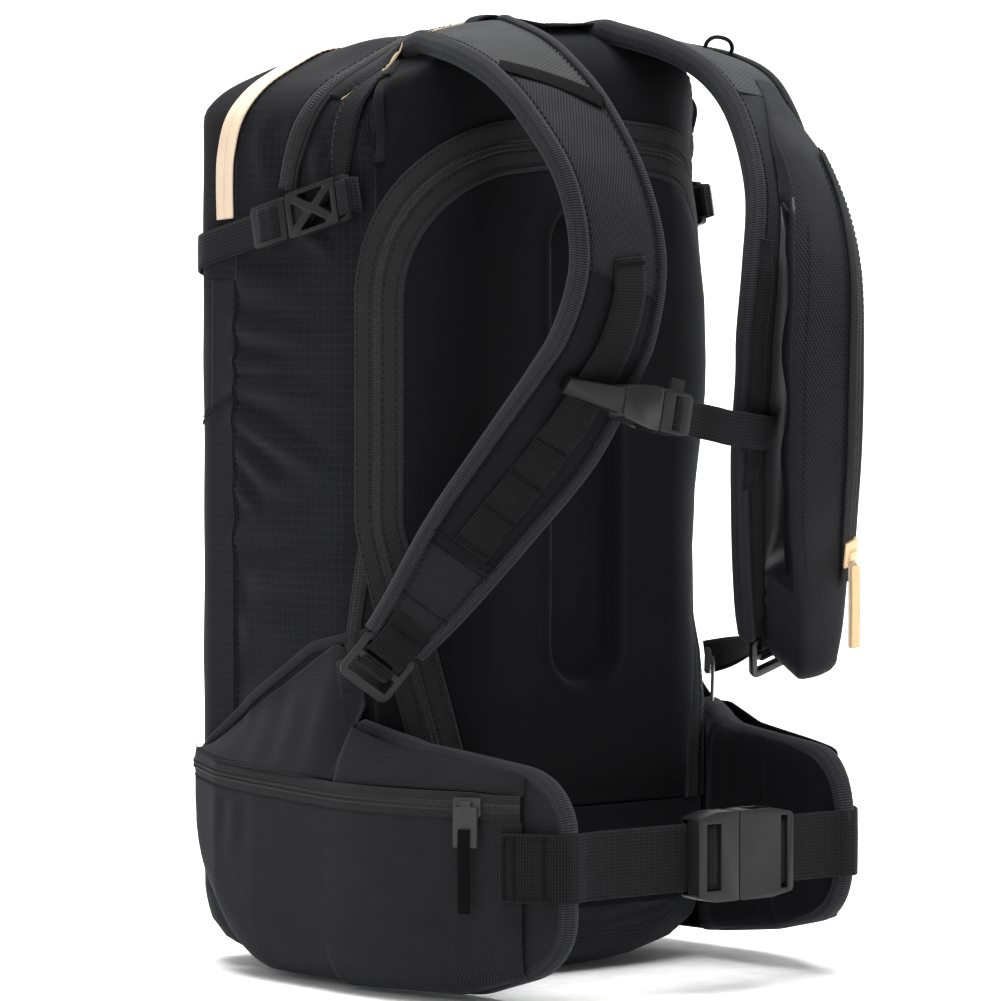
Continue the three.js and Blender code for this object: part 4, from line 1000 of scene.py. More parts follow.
def tube_sleeve():
    at = np.linspace(4.7, 26, 265)
    is_open = step(at, 9.3, 11.5) * (1 - step(at, 21.0, 23.0))
    rows = []
    drops = [0.0] * len(at) + list(17.0 * np.sin(np.linspace(0.08, 1, 14) * np.pi / 2))
    stations = list(at) + [26.0] * 14
    for k, (a, drop) in enumerate(zip(stations, drops)):
        height = float(sleeve_height(np.array(a)))
        o = float(is_open[min(k, len(at) - 1)])
        puff = 1.2 * math.sin(a * 1.3) * math.sin(a * 0.47 + 1)
        closed_wall = [(0.735, height * q) for q in (0.82, 0.66, 0.5, 0.36, 0.24, 0.14, 0.07)]
        open_wall = [(0.745, height - 6),
                     (0.75 + 0.012 * math.sin(a * 2.3), height - 13 + 2.2 * math.sin(a * 1.7)),
                     (0.70, height - 9), (0.50, height - 5.5), (0.25, height - 6), (0.17, height * 0.4),
                     (0.5, 3.4)]
        wall = [(c[0] * (1 - o) + w[0] * o, c[1] * (1 - o) + max(3.2, w[1]) * o)
                for c, w in zip(closed_wall, open_wall)]
        outer = [(0.02, 2.2), (0.0, height * 0.3), (0.005, height * 0.62), (0.025, height * 0.86),
                 (0.07, height * 0.975),
                 (0.14, height + 0.6), (0.24, height + 1.1 + puff * 0.4), (0.36, height + 1.3 + puff),
                 (0.48, height + 1.0 + puff * 0.8),
                 (0.58, height + 0.4 + puff * 0.3), (0.66, height - 0.4), (0.712, height - 2.0),
                 (0.732, height - 3.8)]
        section = np.array(outer + wall + [(0.735, 2.6), (0.72, 2.0), (0.4, 1.8), (0.06, 1.8)])
        section[:, 1] = np.maximum(section[:, 1], 1.8)
        grow = float(step(a, 4.4, 8.2))
        section = np.array([0.3, 0.9]) + (section - np.array([0.3, 0.9])) * [0.3 + 0.7 * grow, grow]
        if drop:
            shrink = math.sqrt(max(0.0, 1 - (drop / 17.6) ** 2))
            middle = np.array([0.37, height * 0.52])
            section = middle + (section - middle) * [0.35 + 0.65 * shrink, 0.15 + 0.85 * shrink]
        rows.append(LEFT.on(a, section[:, 0], section[:, 1]) + LEFT.read(LEFT.down, a) * drop)
    p = np.array(rows)
    wall_columns = range(13, 21)
    pick = lambda r, c: 1 if (c in wall_columns and 9.6 < stations[r] < 22.8 and drops[r] == 0) else 0
    band("tube_sleeve_cover", p, [BALLISTIC, LINING], "root", pick=pick, replace=["tube_sleeve"],
         slot="ballistic", fill=0.4)
    line = np.linspace(7.9, 22.4, 200)
    h = sleeve_height(line)
    path, normals = even(LEFT.on(line, 0.115, h + 0.9), 0.7,
                         LEFT.normal(line) - 0.35 * unit(LEFT.read(LEFT.across, line)))
    band("sleeve_zip_tape", ribbon(path, normals, 12.5, 0.9, crown=0.3), [ZIP_CLOTH], "root")
    Bundle().grid(coil(path, normals, lift=1.0)).done("sleeve_zip_coil", [COIL], "root", slot="zip")
    rows = Bundle()
    for share in (0.0, 0.23):
        a = np.linspace(8.2, 22.8, 160)
        hh = sleeve_height(a) * (0.93 if share == 0 else 1.0) + (0.4 if share == 0 else 1.9)
        q, n = even(LEFT.on(a, share + 0.01, hh), 1.0, LEFT.normal(a))
        stitches(rows, q, n, lift=0.1)
    a = np.linspace(10.5, 22.0, 160)
    q, n = even(LEFT.on(a, 0.66, sleeve_height(a) + 0.1), 1.0, LEFT.normal(a))
    stitches(rows, q, n, lift=0.1)
    rows.done("sleeve_stitches", [THREAD], "root")


tube_sleeve()


def keeper():
    path = np.array([LEFT.on(2.4, s, l)
                     for s, l in ((0.1, 0.2), (0.1, 4), (0.16, 7.4), (0.28, 8.6), (0.4, 7.4), (0.46, 4),
                                  (0.46, 0.2))])
    path = spaced(path, 60)
    band("tube_keeper_cord", tube(path, 1.25, sides=10), [WEBBING], "root", replace=["tube_keeper"],
         slot="webbing")


keeper()


# ---- webbing that the ladder locks grip ----------------------------------------------------------
def strap_foot(side, strap, hand):
    x, down, out, centre = strap.place(26.0, 0.5, -5.0)
    local = lambda a, b, c: centre + x * a + down * b + out * c
    anchor = np.array([hand * 138.0, -57, 173])
    start = local(0, 19, -6.2)
    middle = (start + anchor) / 2 + np.array([hand * 1.5, -1, 0])
    t = np.linspace(0, 1, 60)[:, None]
    path = (1 - t) ** 2 * start + 2 * t * (1 - t) * middle + t ** 2 * anchor
    bar = x if x @ np.array([0, 0.29, 0.96]) > 0 else -x
    wide = bar * (1 - t) + np.array([0, 0.29, 0.96]) * t
    normals = np.cross(wide, tangents(path))
    band(f"{side}_adjuster_strap", ribbon(path, normals, 20, 1.5, crown=0.15), [WEBBING], "root",
         replace=[f"{side}_adjuster_webbing"], slot="webbing")
    wrap = [local(0, 19.5, -5.6), local(0, 21.5, -3.4), local(0, 20.2, 2.0), local(0, 17.6, 5.2),
            local(0, 15.0, 5.6), local(0, 13.4, 3.4),
            local(0, 13.9, -1.0), local(0, 12.0, -3.0), local(0, 4.0, -4.6)]
    bundle = Bundle()
    line = spaced(wrap, 70)
    up = np.cross(np.tile(x, (71, 1)), tangents(line))
    bundle.band(ribbon(line, up, 19.5, 1.3))
    bundle.done(f"{side}_lock_webbing_wrap", [WEBBING], f"{side}_lock")
    tab = spaced([local(0, -16, 5.2), local(0, -4, 5.8), local(0, 4, 6.0), local(0, 8.4, 4.6),
                  local(0, 9.2, 2.0), local(0, 8.2, -1.2),
                  local(0, 2, -2.6), local(0, -6, -4.0)], 80)
    up = np.cross(np.tile(x, (81, 1)), tangents(tab))
    up = up * np.sign(up[0] @ out)
    band(f"{side}_lock_tab", ribbon(tab, up, 24, 1.5), [WEBBING], "root")
    tacks = Bundle()
    bartack(tacks, local(0, -8, 7.2), down, out, width=20, count=18)
    tacks.done(f"{side}_tab_tack", [THREAD], "root")


strap_foot("right", RIGHT, -1)
strap_foot("left", LEFT, 1)


# ---- hip wings -----------------------------------------------------------------------------------
CURVE_X, CURVE_Y, CURVE_R = 27.0, -85.0, 183.0
PAD_BACK = np.array([(-109, -213), (-116, -190), (-121, -165), (-126, -130), (-133, -100), (-140, -66.8)],
                    float)
PAD_FRONT = np.array([(-98, -214), (-101, -185), (-99.5, -150), (-100, -120), (-101.5, -104), (-104, -97),
                      (-114, -86),
                      (-125, -66.8)], float)


def pocket_x(y):
    return CURVE_X - np.sqrt(CURVE_R ** 2 - (y - CURVE_Y) ** 2)


def side_line(corners, steps=14):
    return even(np.c_[rounded(corners, steps), np.zeros(len(rounded(corners, steps)))], 2.0)[:, :2]


def wing_line(drop):
    return side_line([(-66.8, 14 - drop, 0), (-150, 24 - 1.9 * drop, 60), (-214, 38 - 1.4 * drop, 36),
                      (-214, 126, 36),
                      (-105, 137, 40), (-66.8, 149, 0)])


def span(line, y):
    """Lowest and highest height of an outline at each depth."""
    low, high = np.full(len(y), 1e9), np.full(len(y), -1e9)
    closed = np.vstack([line, line[:1]])
    for a, b in zip(closed, closed[1:]):
        if abs(a[0] - b[0]) < 1e-9:
            continue
        t = (y - a[0]) / (b[0] - a[0])
        z = a[1] + (b[1] - a[1]) * t
        hit = (t >= 0) & (t <= 1)
        low = np.where(hit, np.minimum(low, z), low)
        high = np.where(hit, np.maximum(high, z), high)
    return low, high


def hip(side, drop, hand):
    """Root and pocket of one side, worked out for the wearer's right and mirrored for the left."""
    flip = np.array([-hand, 1, 1.0])
    wing, root = f"{side}_wing", "root"
    foot = 4 if drop else 14
    root_corners = [(-66.2, foot, 0), (20, foot - 1, 50), (68, 50, 40), (74, 98, 12), (90, 118, 3),
                    (-46, 194, 6), (-66.2, 158, 0)]
    tip = -150 - 41 * np.sin(np.linspace(0.06, 1, 22) * np.pi / 2)
    y = np.r_[np.linspace(86.5, -60, 74), np.linspace(-62, -150, 44), tip]
    low_r, high_r = span(side_line(root_corners), y)
    low_w, high_w = span(wing_line(drop), y)
    low = np.where(y > -66.5, low_r, low_w)
    high = np.where(y > -66.5, np.minimum(high_r, 194), high_w)
    zip_z = np.interp(y, [-184, -168, -66, 36, 74, 90], [108.5, 110, 110, 114, 118, 118])
    base_x = np.where(y > -66.8, -HALF - 0.6, np.interp(y, PAD_BACK[:, 1], PAD_BACK[:, 0]) - 0.4)
    full = np.where(y > -66.5, np.interp(y, [-66.5, 0, 40, 70, 90],
                                         [pocket_x(-66.5), -154.8, -152, -144, -130.5]),
                                         pocket_x(np.clip(y, -192, 0)))
    edge_end = np.clip((y + 192.5) / 16, 0, 1)
    front_soft = np.clip((91 - y) / 26, 0, 1)
    rounding = np.sqrt(np.clip(1 - (1 - edge_end) ** 2, 0,
                               1)) * np.sqrt(np.clip(1 - (1 - front_soft) ** 2, 0, 1))

    def face(v_low, v_high, lower_round, upper_round, count):
        v = np.linspace(0, 1, count)
        z = v_low[:, None] + (v_high - v_low)[:, None] * v[None]
        d_low, d_high = z - v_low[:, None], v_high[:, None] - z
        bulge = np.ones_like(z)
        if lower_round:
            bulge = bulge * np.sqrt(np.clip(1 - (1 - np.clip(d_low / lower_round, 0, 1)) ** 2, 0, 1))
        if upper_round:
            bulge = bulge * (0.18 + 0.82 * np.clip(1 - (1 - np.clip(d_high / upper_round, 0, 1)) ** 1.6, 0,
                                                   1))
        x = base_x[:, None] + (full - base_x)[:, None] * bulge * rounding[:, None]
        return x, z

    # The pocket below the zip.
    x, z = face(low, zip_z - 7.2, 30.0, 0, 44)
    yy = np.repeat(y[:, None], 44, axis=1)
    ripple = 1.4 * np.exp(-((yy - 24) / 16) ** 2) * np.sin(yy / 3.9 + z / 34)
    ripple = ripple * step(z, 60, 90) * (1 - step(z, 96, 104))
    dent = (2.6 * np.exp(-(((yy + 150) / 14) ** 2 + ((z - 46) / 7) ** 2))
            + 1.8 * np.exp(-((yy / 22) ** 2 + ((z - 22) / 9) ** 2)))
    fold = 1.3 * np.exp(-((yy + 168 + (z - 40) * 0.2) / 2.2) ** 2) * (1 - step(z, 48, 60))
    swell = 1.2 * np.sin(np.pi * np.clip((z - low[:, None]) / 100, 0,
                                         1)) * np.sin(np.pi * np.clip((y[:, None] + 192) / 260, 0, 1))
    x = x + (-ripple * 0.5 + dent + fold - swell) * np.clip((base_x[:, None] - x) / 12, 0, 1)
    p = np.stack([x, yy, z], axis=-1) * flip
    grid(f"{side}_pocket_lower", p, [TWILL], wing, flip=hand > 0, thick=1.4,
         uv=np.stack([-np.cumsum(np.r_[0, np.hypot(np.diff(y), np.diff(full))])[:, None] + 0 * z, z],
                     axis=-1), fill=0.5,
         replace=[f"{side}_hip_pocket", f"{side}_hip_root"], slot="shell",
         bend=(root, wing, (-hand * -150, -58, 80), (-hand * -150, -80, 80)))
    # The cloth above the zip, rising to the hip gusset's slanted seam.
    upper_low = zip_z + 7.2
    high_clear = np.maximum(high, upper_low + 0.5)
    x, z = face(upper_low, high_clear, 0, 34.0, 34)
    wall_x, _ = on_side(yy[:, :34].ravel(), np.clip(z, 40, 480).ravel())
    wall_x = wall_x[:, 0].reshape(z.shape) - 1.1
    on_wing = step(-yy[:, :34], 60, 74)
    gusset = wall_x + (full - base_x)[:, None] * np.clip((high_clear[:, None] - z) / np.maximum(
        high_clear - upper_low, 1)[:, None], 0, 1) ** 1.5 * rounding[:, None]
    pleats = 1.1 * np.sin(yy[:, :34] / 4.6 - z / 20) * np.exp(-((yy[:, :34] + 12) / 34) ** 2)
    pleats = pleats * step(z, 118, 128) * (1 - step(z, 150, 172))
    x = np.where(on_wing > 0.999, x, gusset * (1 - on_wing) + x * on_wing) - pleats * 0.6
    x = np.minimum(x, np.where(on_wing > 0.5, 0, wall_x))
    p = np.stack([x, yy[:, :34], z], axis=-1) * flip
    grid(f"{side}_pocket_upper", p, [TWILL], wing, flip=hand > 0, thick=1.2,
         uv=np.stack([-np.cumsum(np.r_[0, np.hypot(np.diff(y), np.diff(full))])[:, None] + 0 * z, z],
                     axis=-1),
         bend=(root, wing, (-hand * -150, -58, 80), (-hand * -150, -80, 80)))
    # Zip along the pocket's upper edge.
    zy = np.linspace(84, -190.6, 280)
    zx = np.interp(-zy, -y, full * rounding + base_x * (1 - rounding))
    zz = np.interp(-zy, -y, zip_z)
    path = np.stack([zx - 0.2, zy, zz], axis=1)
    normals = np.stack([-(CURVE_X - zx), zy - CURVE_Y, 0 * zy], axis=1)
    path, normals = even(path, 0.8, normals)
    tape = ribbon(path, normals, 15.6, 0.9, crown=0.7) * flip
    ends = (root, wing, (-hand * -150, -58, 80), (-hand * -150, -80, 80))
    band(f"{side}_pocket_zip", tape, [ZIP_CLOTH], wing, flip=hand > 0, bend=ends,
         replace=[f"{side}_hip_zip_tape"], slot="zip")
    teeth = coil(path, normals, lift=1.4) * flip
    grid(f"{side}_pocket_coil", teeth, [COIL], wing, flip=hand > 0, bend=ends)
    rows = Bundle()
    for offset in (-9.6, 9.6):
        stitches(rows, (path + np.array([0, 0, offset]) + unit(normals) * 0.6), normals, lift=0.1)
    rows.points = [q * flip for q in rows.points]
    rows.done(f"{side}_pocket_stitches", [THREAD], wing, bend=ends)
    pocket_piping = np.stack([np.interp(-zy, -y, full) * 1.0, zy, zz - 8.2], axis=1)
    band(f"{side}_pocket_piping", tube(even(pocket_piping[:-6], 2.0), 0.9, sides=8) * flip, [TWILL], wing,
         flip=hand > 0, bend=ends)
    return flip


def hip_pad(side, drop, hand, flip):
    """The foam wing: an outer and an inner face inside a rolled binding."""
    wing = f"{side}_wing"
    outline = wing_line(drop)
    y = -66.8 - np.linspace(0, 1, 90) ** 0.85 * 147.0
    low, high = span(outline, np.clip(y, -213.6, -66.9))
    share = np.linspace(0, 1, 50)
    z = low[:, None] + (high - low)[:, None] * share[None]
    yy = np.repeat(y[:, None], 50, axis=1)
    gap = np.minimum(np.minimum(z - low[:, None], high[:, None] - z), (yy + 214) * 0.9)
    soft = np.sqrt(np.clip(1 - (1 - np.clip(gap / 12, 0, 1)) ** 2, 0, 1))
    inner = np.interp(yy, PAD_FRONT[:, 1], PAD_FRONT[:, 0])
    outer = np.interp(yy, PAD_BACK[:, 1], PAD_BACK[:, 0])
    middle = (inner + outer) / 2
    seam = (0.8 * np.exp(-((yy + 96 + (z - 90) * 0.12) / 2.0) ** 2)
            + 0.8 * np.exp(-((yy + 150 - (z - 90) * 0.1) / 2.0) ** 2))
    swell = 0.7 * np.sin(yy / 17) * np.sin(z / 19)
    front = np.stack([inner + (middle - inner) * (1 - soft) * 0.75 - (seam - swell * 0.5) * soft - 0.4, yy,
                      z], axis=-1) * flip
    back = np.stack([outer + (middle - outer) * (1 - soft) * 0.75 + 0.3, yy, z], axis=-1) * flip
    uv = np.stack([yy, z], axis=-1)
    grid(f"{side}_pad_inner", front, [FOAM], wing, flip=hand < 0, uv=uv, thick=1.5, fill=0.7,
         replace=[f"{side}_hip_pad"],
         slot="foam_cover")
    grid(f"{side}_pad_outer", back, [TWILL], wing, flip=hand > 0, uv=uv, thick=1.2)
    rim = outline[(outline[:, 0] < -67.5)]
    start = np.argmax(np.linalg.norm(np.diff(np.vstack([rim, rim[:1]]), axis=0), axis=1)) + 1
    rim = np.roll(rim, -start, axis=0)
    x = (np.interp(rim[:, 0], PAD_FRONT[:, 1], PAD_FRONT[:, 0])
         + np.interp(rim[:, 0], PAD_BACK[:, 1], PAD_BACK[:, 0])) / 2
    thick = np.abs(np.interp(rim[:, 0], PAD_FRONT[:, 1], PAD_FRONT[:, 0])
                   - np.interp(rim[:, 0], PAD_BACK[:, 1], PAD_BACK[:, 0]))
    path = np.stack([x, rim[:, 0], rim[:, 1]], axis=1)
    outward = unit(np.stack([0 * x, np.gradient(rim[:, 1]), -np.gradient(rim[:, 0])], axis=1))
    outward = outward * np.sign(np.sum(outward * (path - path.mean(axis=0)), axis=1).mean())
    path, outward = even(path, 1.5, outward)
    thick = np.interp(path[:, 1], PAD_FRONT[:, 1],
                      np.abs(np.interp(PAD_FRONT[:, 1], PAD_BACK[:, 1], PAD_BACK[:, 0]) - PAD_FRONT[:, 0]))
    thick = np.clip(thick, 9, 14)
    along = tangents(path)
    lateral = unit(np.cross(along, outward))
    angle = np.linspace(-2.2, 2.2, 15)
    a, b = 4.2 * np.cos(angle), np.sin(angle)
    p = ((path - outward * 2.2)[:, None] + outward[:, None] * a[None, :, None]
         + lateral[:, None] * (b[None] * thick[:, None] * 0.52)[..., None])
    grid(f"{side}_wing_binding", p * flip, [BINDING], wing, thick=0.9, offset=0.0, flip=hand > 0)
    rows = Bundle()
    for sign in (-1, 1):
        line = path - outward * 7.2 + lateral * (sign * thick[:, None] * 0.5)
        stitches(rows, line, lateral * sign, lift=0.5)
    rows.points = [q * flip for q in rows.points]
    rows.done(f"{side}_wing_stitches", [THREAD], wing)


for side, drop, hand in (("right", 10, -1), ("left", 0, 1)):
    flip = hip(side, drop, hand)
    hip_pad(side, drop, hand, flip)


# ---- buckles and other hard pieces ---------------------------------------------------------------
def hard(node, body, name, material=PLASTIC, bevel=0.55):
    """A rounded copy of a moulded piece of the part."""
    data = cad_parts[node].data.copy()
    work = bmesh.new()
    work.from_mesh(data)
    bmesh.ops.remove_doubles(work, verts=work.verts, dist=2e-5)
    bmesh.ops.dissolve_limit(work, angle_limit=math.radians(4), verts=work.verts, edges=work.edges)
    work.to_mesh(data)
    work.free()
    data.materials.clear()
    data.materials.append(material)
    data.polygons.foreach_set("use_smooth", np.full(len(data.polygons), True))
    obj = bpy.data.objects.new(name, data)
    bpy.context.scene.collection.objects.link(obj)
    rounder = obj.modifiers.new("edges", "BEVEL")
    rounder.width, rounder.segments, rounder.limit_method = bevel * 0.001, 3, "ANGLE"
    rounder.angle_limit = math.radians(32)
    rounder.harden_normals = True
    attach(obj, body)
    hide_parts(node)
    return obj


for node, body, name in (
        ("belt_male_buckle", "belt_male", "belt_buckle_male"),
        ("belt_female_buckle", "left_wing", "belt_buckle_female"),
        ("sternum_female_buckle", "sternum_strap", "sternum_buckle_female"),
        ("sternum_male_buckle", "sternum_male", "sternum_buckle_male"),
        ("right_compression_female_buckle", "root", "right_compression_female"),
        ("left_compression_female_buckle", "root", "left_compression_female"),
        ("right_compression_male_buckle", "right_compression_male", "right_compression_clip"),
        ("left_compression_male_buckle", "left_compression_male", "left_compression_clip"),
        ("right_ladder_lock", "right_lock", "right_lock_frame"),
        ("left_ladder_lock", "left_lock", "left_lock_frame")):
    hard(node, body, name)
for node, body, name in (
        ("right_hip_zip_slider", "right_hip_slider", "right_hip_runner"),
        ("left_hip_zip_slider", "left_hip_slider", "left_hip_runner"),
        ("tool_zip_slider", "tool_slider", "tool_runner"), ("top_zip_slider", "top_slider", "top_runner"),
        ("back_zip_slider", "back_slider", "back_runner")):
    hard(node, body, name, METAL, 0.6)
hard("sleeve_zip_slider", "sleeve_slider", "sleeve_runner", LIGHT_SLIDER, 0.7)
hard("sleeve_zip_pull", "sleeve_pull", "sleeve_pull_core", LIGHT, 0.4)
hard("frame_sheet", "back_door", "frame_sheet_moulding", SHEET, 0.3)
for side in ("right", "left"):
    hard(f"{side}_frame_stay", "back_door", f"{side}_stay_bar", ALUMINIUM, 0.4)


# ---- belt, sternum strap and compression straps --------------------------------------------------
def belt(hand, body, name, end):
    flip = np.array([-hand, 1, 1.0])
    path = spaced([(-128.6, -184.5, 77.5), (-125, -196, 77.5), (-115.5, -209, 77.5), (-109, -214.8, 77.5),
                   (-102, -215.6, 77.5),
                   (-90, -213.3, 77.5), (-40, -213.0, 77.5), (end, -212.9, 77.5)], 150)
    normals = np.cross(np.tile([0, 0, 1.0], (151, 1)), tangents(path))
    normals = normals * np.sign(normals[80] @ np.array([0, -1.0, 0]))
    wave = 0.35 * np.sin(np.linspace(0, 9, 151)) * np.sin(np.linspace(0, np.pi, 151))
    webbing = ribbon(path + normals * (wave[:, None] - 0.75), normals, 37.6, 1.5, crown=0.2, columns=12)
    band(name, webbing * flip, [WEBBING], body, flip=hand > 0,
         replace=[f"{'right' if hand < 0 else 'left'}_belt_webbing"], slot="webbing")
    rows = Bundle()
    for z in (60.5, 94.5):
        line = path[4:26] + np.array([0, 0, z - 77.5]) + normals[4:26] * 1.0
        stitches(rows, line, normals[4:26])
    for k in (3, 9, 26):
        bartack(rows, path[k] + normals[k] * 1.0, tangents(path)[k], normals[k], width=35, count=26)
    rows.points = [q * flip for q in rows.points]
    rows.done(f"{name}_stitches", [THREAD], body)


belt(-1, "right_wing", "right_belt_strap", 7)
belt(1, "left_wing", "left_belt_strap", -45)


def belt_extras():
    """Webbing threaded through the buckle's two ladders."""
    for name, body, xs in (("belt_male_threading", "belt_male", (-16.5, -14.0, -8.0, -1.5, 1.0)),):
        line = spaced([(xs[0], -214.6, 77.5), (xs[1], -219.0, 77.5), (xs[2], -221.4, 77.5),
                       (xs[3], -219.0, 77.5), (xs[4], -214.8, 77.5)], 60)
        up = np.cross(np.tile([0, 0, 1.0], (61, 1)), tangents(line))
        up = up * np.sign(up[30] @ np.array([0, -1.0, 0]))
        band(name, ribbon(line, up, 36, 1.5, crown=0.1, columns=12), [WEBBING], body)
    line = spaced([(51.5, -214.0, 77.5), (48.5, -219.6, 77.5), (44.0, -221.2, 77.5), (40.8, -217.6, 77.5)],
                  50)
    up = np.cross(np.tile([0, 0, 1.0], (51, 1)), tangents(line))
    up = up * np.sign(up[25] @ np.array([0, -1.0, 0]))
    band("belt_female_threading", ribbon(line, up, 36, 1.5, columns=12), [WEBBING], "left_wing")


belt_extras()
TILT = np.array(Matrix.Rotation(0.197, 3, "Y"))
STERNUM_AT = np.array([-36.0, -204.8, 325.2])


def on_tilt(p):
    return np.asarray(p, float) @ TILT.T + STERNUM_AT


def sternum():
    x, down, out, place = LEFT.place(17.0, 0.9, 0.0)
    near = on_tilt([[7.5, -0.75, 0], [20, -0.75, 0], [34, 0.4, 0], [46, -1.4, 0], [55, -0.75, 0]])
    joint = place + x * -8.4 + out * 7.6
    line = spaced([*near, (near[-1] + joint) / 2 + np.array([0, -0.5, 0]), joint], 120)
    t = np.linspace(0, 1, 121)[:, None] ** 4
    wide = unit(np.tile(on_tilt([0, 0, 1])[None] - STERNUM_AT, (121, 1)) * (1 - t)
                + np.tile(-down if down[2] < 0 else down, (121, 1)) * t)
    up = np.cross(wide, tangents(line))
    up = up * np.sign(up[10] @ np.array([0, -1.0, 0]))
    band("sternum_strap_webbing", ribbon(line, up, 19.6, 1.5, crown=0.15), [WEBBING], "sternum_strap",
         replace=["sternum_webbing"], slot="webbing")
    ring = []
    for a, b, r in ((-8.0, 1.9, 1.5), (8.0, 1.9, 1.5), (8.0, 7.3, 1.5), (-8.0, 7.3, 1.5)):
        ring.append((a, b, r))
    outline = rounded(ring, 8)
    outline = np.vstack([outline, outline[:1]])
    outline = even(np.c_[outline, np.zeros(len(outline))], 0.6)[:, :2]
    line = place + outline[:, :1] * x + outline[:, 1:] * out
    along = tangents(line)
    up = np.cross(along, np.tile(down, (len(line), 1)))
    up = up * np.sign((up * (line - line.mean(axis=0))).sum(axis=1).mean())
    band("sternum_end_loop", ribbon(line, up, 18, 1.3, lift=-0.7), [WEBBING], "sternum_strap")
    tacks = Bundle()
    bartack(tacks, place + x * -4.0 + out * 8.4, x, out, width=16, count=14)
    tacks.done("sternum_tack", [THREAD], "sternum_strap")
    line = spaced(on_tilt([[20.5, -1.2, 0], [17.5, -5.0, 0], [13, -6.4, 0], [9.4, -4.6, 0], [7.2, -1.0, 0]]),
                  40)
    wide = np.tile(on_tilt([0, 0, 1]) - STERNUM_AT, (41, 1))
    up = np.cross(wide, tangents(line))
    up = up * np.sign(up[20] @ np.array([0, -1.0, 0]))
    band("sternum_threading", ribbon(line, up, 18.4, 1.3), [WEBBING], "sternum_male")


sternum()
SLOPE = 0.207


def on_compression(lift, p, q, hand):
    """The side buckles' own frame: out from the wall, along the strap towards the front, and up."""
    lift, p, q = np.broadcast_arrays(*[np.asarray(v, float) for v in (lift, p, q)])
    y = p * math.cos(SLOPE) + q * math.sin(SLOPE)
    z = -p * math.sin(SLOPE) + q * math.cos(SLOPE)
    return np.stack([hand * (HALF + lift), y, 431.0 + z], axis=-1)


def compression(side, hand):
    loop = rounded([(-65.2, 1.4, 1.6), (-52.4, 1.4, 1.6), (-52.4, 8.0, 1.6), (-65.2, 8.0, 1.6)], 8)
    loop = even(np.c_[np.vstack([loop, loop[:1]]), np.zeros(len(loop) + 1)], 0.6)[:, :2]
    line = on_compression(loop[:, 1], loop[:, 0], 0 * loop[:, 0], hand)
    wide = np.tile(on_compression(0.0, 0.0, 1.0, hand) - on_compression(0.0, 0.0, 0.0, hand), (len(line), 1))
    up = np.cross(tangents(line), wide)
    up = up * np.sign((up * (line - line.mean(axis=0))).sum(axis=1).mean())
    band(f"{side}_compression_loop", ribbon(line, up, 19.4, 1.3, lift=-0.7, crown=0.1), [WEBBING], "root",
         replace=[f"{side}_compression_anchor"], slot="webbing")
    tack = Bundle()
    centre = on_compression(8.9, -63.6, 0.0, hand)
    bartack(tack, centre, on_compression(0.0, 1.0, 0.0, hand) - on_compression(0.0, 0.0, 0.0, hand),
            np.array([hand, 0, 0.0]), width=17, count=16)
    tack.done(f"{side}_compression_tack", [THREAD], "root")
    start = on_compression(3.4, 6.0, 0.0, hand)
    corner = np.array([hand * (HALF - FRONT_R), FRONT - FRONT_R])
    path = [start, on_compression(3.0, 34.0, 0.0, hand)]
    for a in np.linspace(0, np.pi / 2, 9):
        r = FRONT_R + 2.8 - 0.6 * math.sin(a)
        path.append(np.array([corner[0] + hand * r * math.cos(a), corner[1] + r * math.sin(a),
                              431 - SLOPE * (corner[1] + FRONT_R * a)]))
    path.append(path[-1] + np.array([-hand * 21, 1.6, -4.2]))
    line = spaced(path, 130)
    up = np.cross(tangents(line), np.tile([0, 0.0, 1.0], (131, 1)))
    up = up * np.sign(up[5, 0] * hand)
    band(f"{side}_compression_webbing", ribbon(line, up, 19.6, 1.5, crown=0.15, lift=-0.75), [WEBBING],
         "root",
         replace=[f"{side}_compression_strap"], slot="webbing")
    thread = spaced([on_compression(l, p, 0.0, hand) for l, p in
                     ((3.2, 25.5), (6.2, 22.0), (9.4, 17.5), (9.6, 11.0), (9.4, 5.0), (6.5, 0.5),
                      (3.4, -1.5))], 60)
    up = np.cross(tangents(thread), np.tile([0, 0.2, 0.98], (61, 1)))
    up = up * np.sign(up[30, 0] * hand)
    body = f"{side}_compression_male"
    band(f"{side}_compression_threading", ribbon(thread, up, 18.6, 1.3), [WEBBING], body)


for side, hand in (("right", -1), ("left", 1)):
    compression(side, hand)


# ---- zips, bands and flap on the body ------------------------------------------------------------
def wall_path(line, sign=None):
    """Points on the body over a line in the side view, on the side wall that the sign picks."""
    line = even(np.c_[np.array(line, float), np.zeros(len(line))], 2.0)[:, :2]
    return on_side(line[:, 0], line[:, 1], sign)


